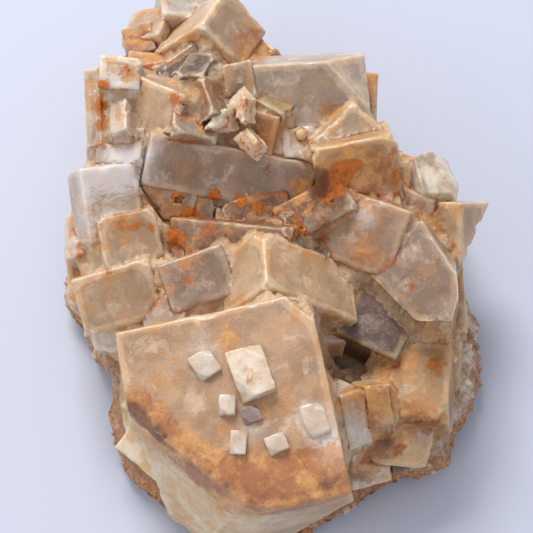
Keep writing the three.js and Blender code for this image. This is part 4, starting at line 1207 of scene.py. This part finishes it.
mixed = bench.node("ShaderNodeMixShader", None, cloudiness, glassy, cloudy)
absorbed = bench.node("ShaderNodeVolumeAbsorption", None, Color=linear(244, 222, 184),
                      Density=9.0)
bench.node("ShaderNodeOutputMaterial", None, mixed, absorbed)

# Name, node, slot and look; the mesh's cell, the wear of its edges and how uneven its skin is,
# in millimetres; the planes that it is broken along.
PERCHED_DEPTH = 0.6
for name, node, slot, look, cell, wear, jagged, planes in (
    ("late_white", "perched_white", "late_crystals", faint_look, 0.5, 0.55, 0.12, ()),
    ("late_big", "perched_big", "late_crystals", cream_look, 0.6, 0.8, 0.2, ()),
    ("late_bud", "perched_bud", "late_crystals", faint_look, 0.5, 0.5, 0.15, ()),
    ("late_lilac", "perched_lilac", "late_crystals", mauve_look, 0.5, 0.4, 0.12, ()),
    ("late_low", "perched_low", "late_crystals", faint_look, 0.5, 0.5, 0.12, ()),
    ("late_corner", "perched_corner", "late_crystals", faint_look, 0.5, 0.5, 0.12, ()),
    ("late_right", "perched_right", "late_crystals", faint_look, 0.5, 0.5, 0.12, ()),
    ("curled_fragment", "cream_blade_left", "cream_mineral", fragment_look, 0.35, 0.2, 0.4,
     (((-0.8, 0.5, 0.3), 0.22), ((0.7, -0.6, 0.6), 0.25))),
    ("long_fragment", "cream_blade_right", "cream_mineral", fragment_look, 0.35, 0.2, 0.4,
     (((0.7, 0.6, 0.5), 0.25), ((-0.7, -0.7, 0.2), 0.3), ((-0.6, 0.7, 0.4), 0.2))),
    ("lower_fragment", "cream_stem", "cream_mineral", fragment_look, 0.35, 0.2, 0.4,
     (((-0.7, 0.5, 0.5), 0.25), ((0.8, -0.3, 0.5), 0.25))),
    ("yellow_grain", "resin_grain", "resin_yellow", grain_look, 0.3, 0.0, 0.08, ()),
    ("clear_cube", "clear_crystal", "clear_fluorite", clear_look, 0.9, 0.25, 0.1,
     (((0.75, 0.35, 0.6), 0.2), ((-0.6, 0.75, 0.3), 0.1), ((0.9, -0.4, 0.2), 0.12))),
):
    sunk = PERCHED_DEPTH if node.startswith("perched") else 0.0
    mesh = finished_copy(node, cell, wear, jagged, planes, sunk)
    mesh.materials.append(look)
    piece = bpy.data.objects.new(name, mesh)
    bpy.context.collection.objects.link(piece)
    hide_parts(node)
    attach(piece, "root")

# ---------------------------------------------------------------- host rock
# The crust of granular host rock that the crystals grew on: pale grains in a rusty cement,
# broken roughly flat below. Its solid gets an uneven skin, and grains of rock and small cubes
# are grown over its sides by Geometry Nodes.

rock_look, bench = new_look("host_rock")
place = bench.node("ShaderNodeTexCoord", None, out=3)
height_up = bench.split(place)[2] * 1000.0
mottle = bench.noise(place, 300.0, 5.0, 0.65)
grit = bench.noise(place, 1500.0, 4.0, 0.6)
grains = bench.node("ShaderNodeTexVoronoi", None, place, Scale=620.0, out=1)
grain_shade = bench.split(grains)[0]
colour = bench.blend(grain_shade, linear(186, 160, 132), linear(234, 222, 206))
colour = bench.blend(bench.ramp(mottle, 0.42, 0.6) * 0.8, colour, linear(158, 98, 46))
low_rust = 1.0 - bench.ramp(height_up + (mottle - 0.5) * 14.0, 3.0, 7.0)
cement = bench.blend(bench.ramp(grit, 0.35, 0.65), linear(124, 74, 36), linear(206, 142, 80))
colour = bench.blend(low_rust * 0.85, colour, cement)
relief = grain_shade * 0.35 + grit * 0.3 + mottle * 0.5
bench.node("ShaderNodeOutputMaterial", None, bench.node(
    "ShaderNodeBsdfPrincipled", None, Base_Color=colour, Roughness=0.25 + mottle * 0.5,
    Subsurface_Weight=0.25, Subsurface_Radius=(1.0, 0.62, 0.4), Subsurface_Scale=0.001,
    Normal=bench.bump(0.9, MM, relief)))

ROCK_CELL = 1.2 * MM
UNDERSIDE_TOP = 0.6
rock = node_copy("host_rock")
slice_whole(rock, ROCK_CELL)
spots = read(rock.vertices, "co", 3) / MM
normals = read(rock.vertices, "normal", 3)
bumps = 0.9 * grain_noise(spots, 0.22, 5.0) + 0.55 * grain_noise(spots, 0.7, 9.0) - 0.45
steepness = np.clip(1.2 - np.abs(normals[:, 2]) * 0.8, 0, 1)
move_corners(rock, spots + (bumps * steepness)[:, None] * normals)
rock.shade_smooth()
rock.set_sharp_from_angle(angle=math.radians(35))
rock.materials.clear()
rock.materials.append(rock_look)
paleness = 0.62 + 0.25 * grain_noise(spots, 0.2, 13.0)
tints = paleness[:, None] * np.array([1.0, 0.82, 0.62, 1.0])
rock.attributes.new("tint", "FLOAT_COLOR", "POINT").data.foreach_set(
    "color", tints.astype(np.float32).ravel())
outer = np.clip(1.3 - np.abs(normals[:, 2]), 0, 1) * (spots[:, 2] > UNDERSIDE_TOP)
rock.attributes.new("outer", "FLOAT", "POINT").data.foreach_set(
    "value", outer.astype(np.float32))
host_rock = bpy.data.objects.new("granular_rock", rock)
bpy.context.collection.objects.link(host_rock)
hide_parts("host_rock")
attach(host_rock, "root")
for name, density, sizes, look, seed in (
    ("rock_grains", 2.2e5, (0.5, 1.9), rock_look, 21),
    ("rock_cubes", 2.5e4, (0.8, 2.0), small_cube_look, 25),
):
    tree = scatter_tree(name, little_cube, look)
    mesh = scattered(rock, tree, "outer", density, sizes, -0.3, seed)
    piece = bpy.data.objects.new(name, mesh)
    bpy.context.collection.objects.link(piece)
    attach(piece, "root")

# ---------------------------------------------------------------- table, light and camera
# A plain pale table just under the specimen, one soft light from the back left, a weak one
# from the front left and an even pale room.

TABLE_HALF, TABLE_HEIGHT = 1.5, -0.0002
table = bpy.data.meshes.new("table")
table.from_pydata([(x * TABLE_HALF, y * TABLE_HALF, TABLE_HEIGHT)
                   for x, y in ((-1, -1), (1, -1), (1, 1), (-1, 1))], [], [(0, 1, 2, 3)])
table_look = bpy.data.materials.new("pale_table")
table_look.use_nodes = True
paint = table_look.node_tree.nodes["Principled BSDF"].inputs
paint["Base Color"].default_value = (0.53, 0.55, 0.635, 1)
paint["Roughness"].default_value = 0.8
table.materials.append(table_look)
table_top = bpy.data.objects.new("table_top", table)
bpy.context.collection.objects.link(table_top)

LIGHT_AIM = Vector((0, 0, 0.02))
for name, place, size, power in (
    ("window_light", (-0.24, 0.66, 0.77), 0.42, 9.9),
    ("room_light", (-0.5, -0.35, 0.4), 0.5, 1.2),
):
    lamp = bpy.data.lights.new(name, "AREA")
    lamp.size, lamp.energy = size, power
    lamp_object = bpy.data.objects.new(name, lamp)
    lamp_object.location = place
    lamp_object.rotation_euler = (LIGHT_AIM - Vector(place)).to_track_quat("-Z", "Y").to_euler()
    bpy.context.collection.objects.link(lamp_object)

world = bpy.data.worlds.new("room")
world.use_nodes = True
sky = world.node_tree.nodes["Background"].inputs
sky["Color"].default_value = (0.86, 0.9, 1.0, 1)
sky["Strength"].default_value = 0.66
bpy.context.scene.world = world

bpy.context.scene.view_settings.view_transform = "Standard"
camera = bpy.data.objects.new("camera", bpy.data.cameras.new("camera"))
camera.data.lens = 109.1
camera.data.clip_start = 0.01
camera.location = (-0.00111, -0.13477, 0.28465)
camera.rotation_euler = (math.radians(26), 0, 0)
bpy.context.collection.objects.link(camera)
bpy.context.scene.camera = camera
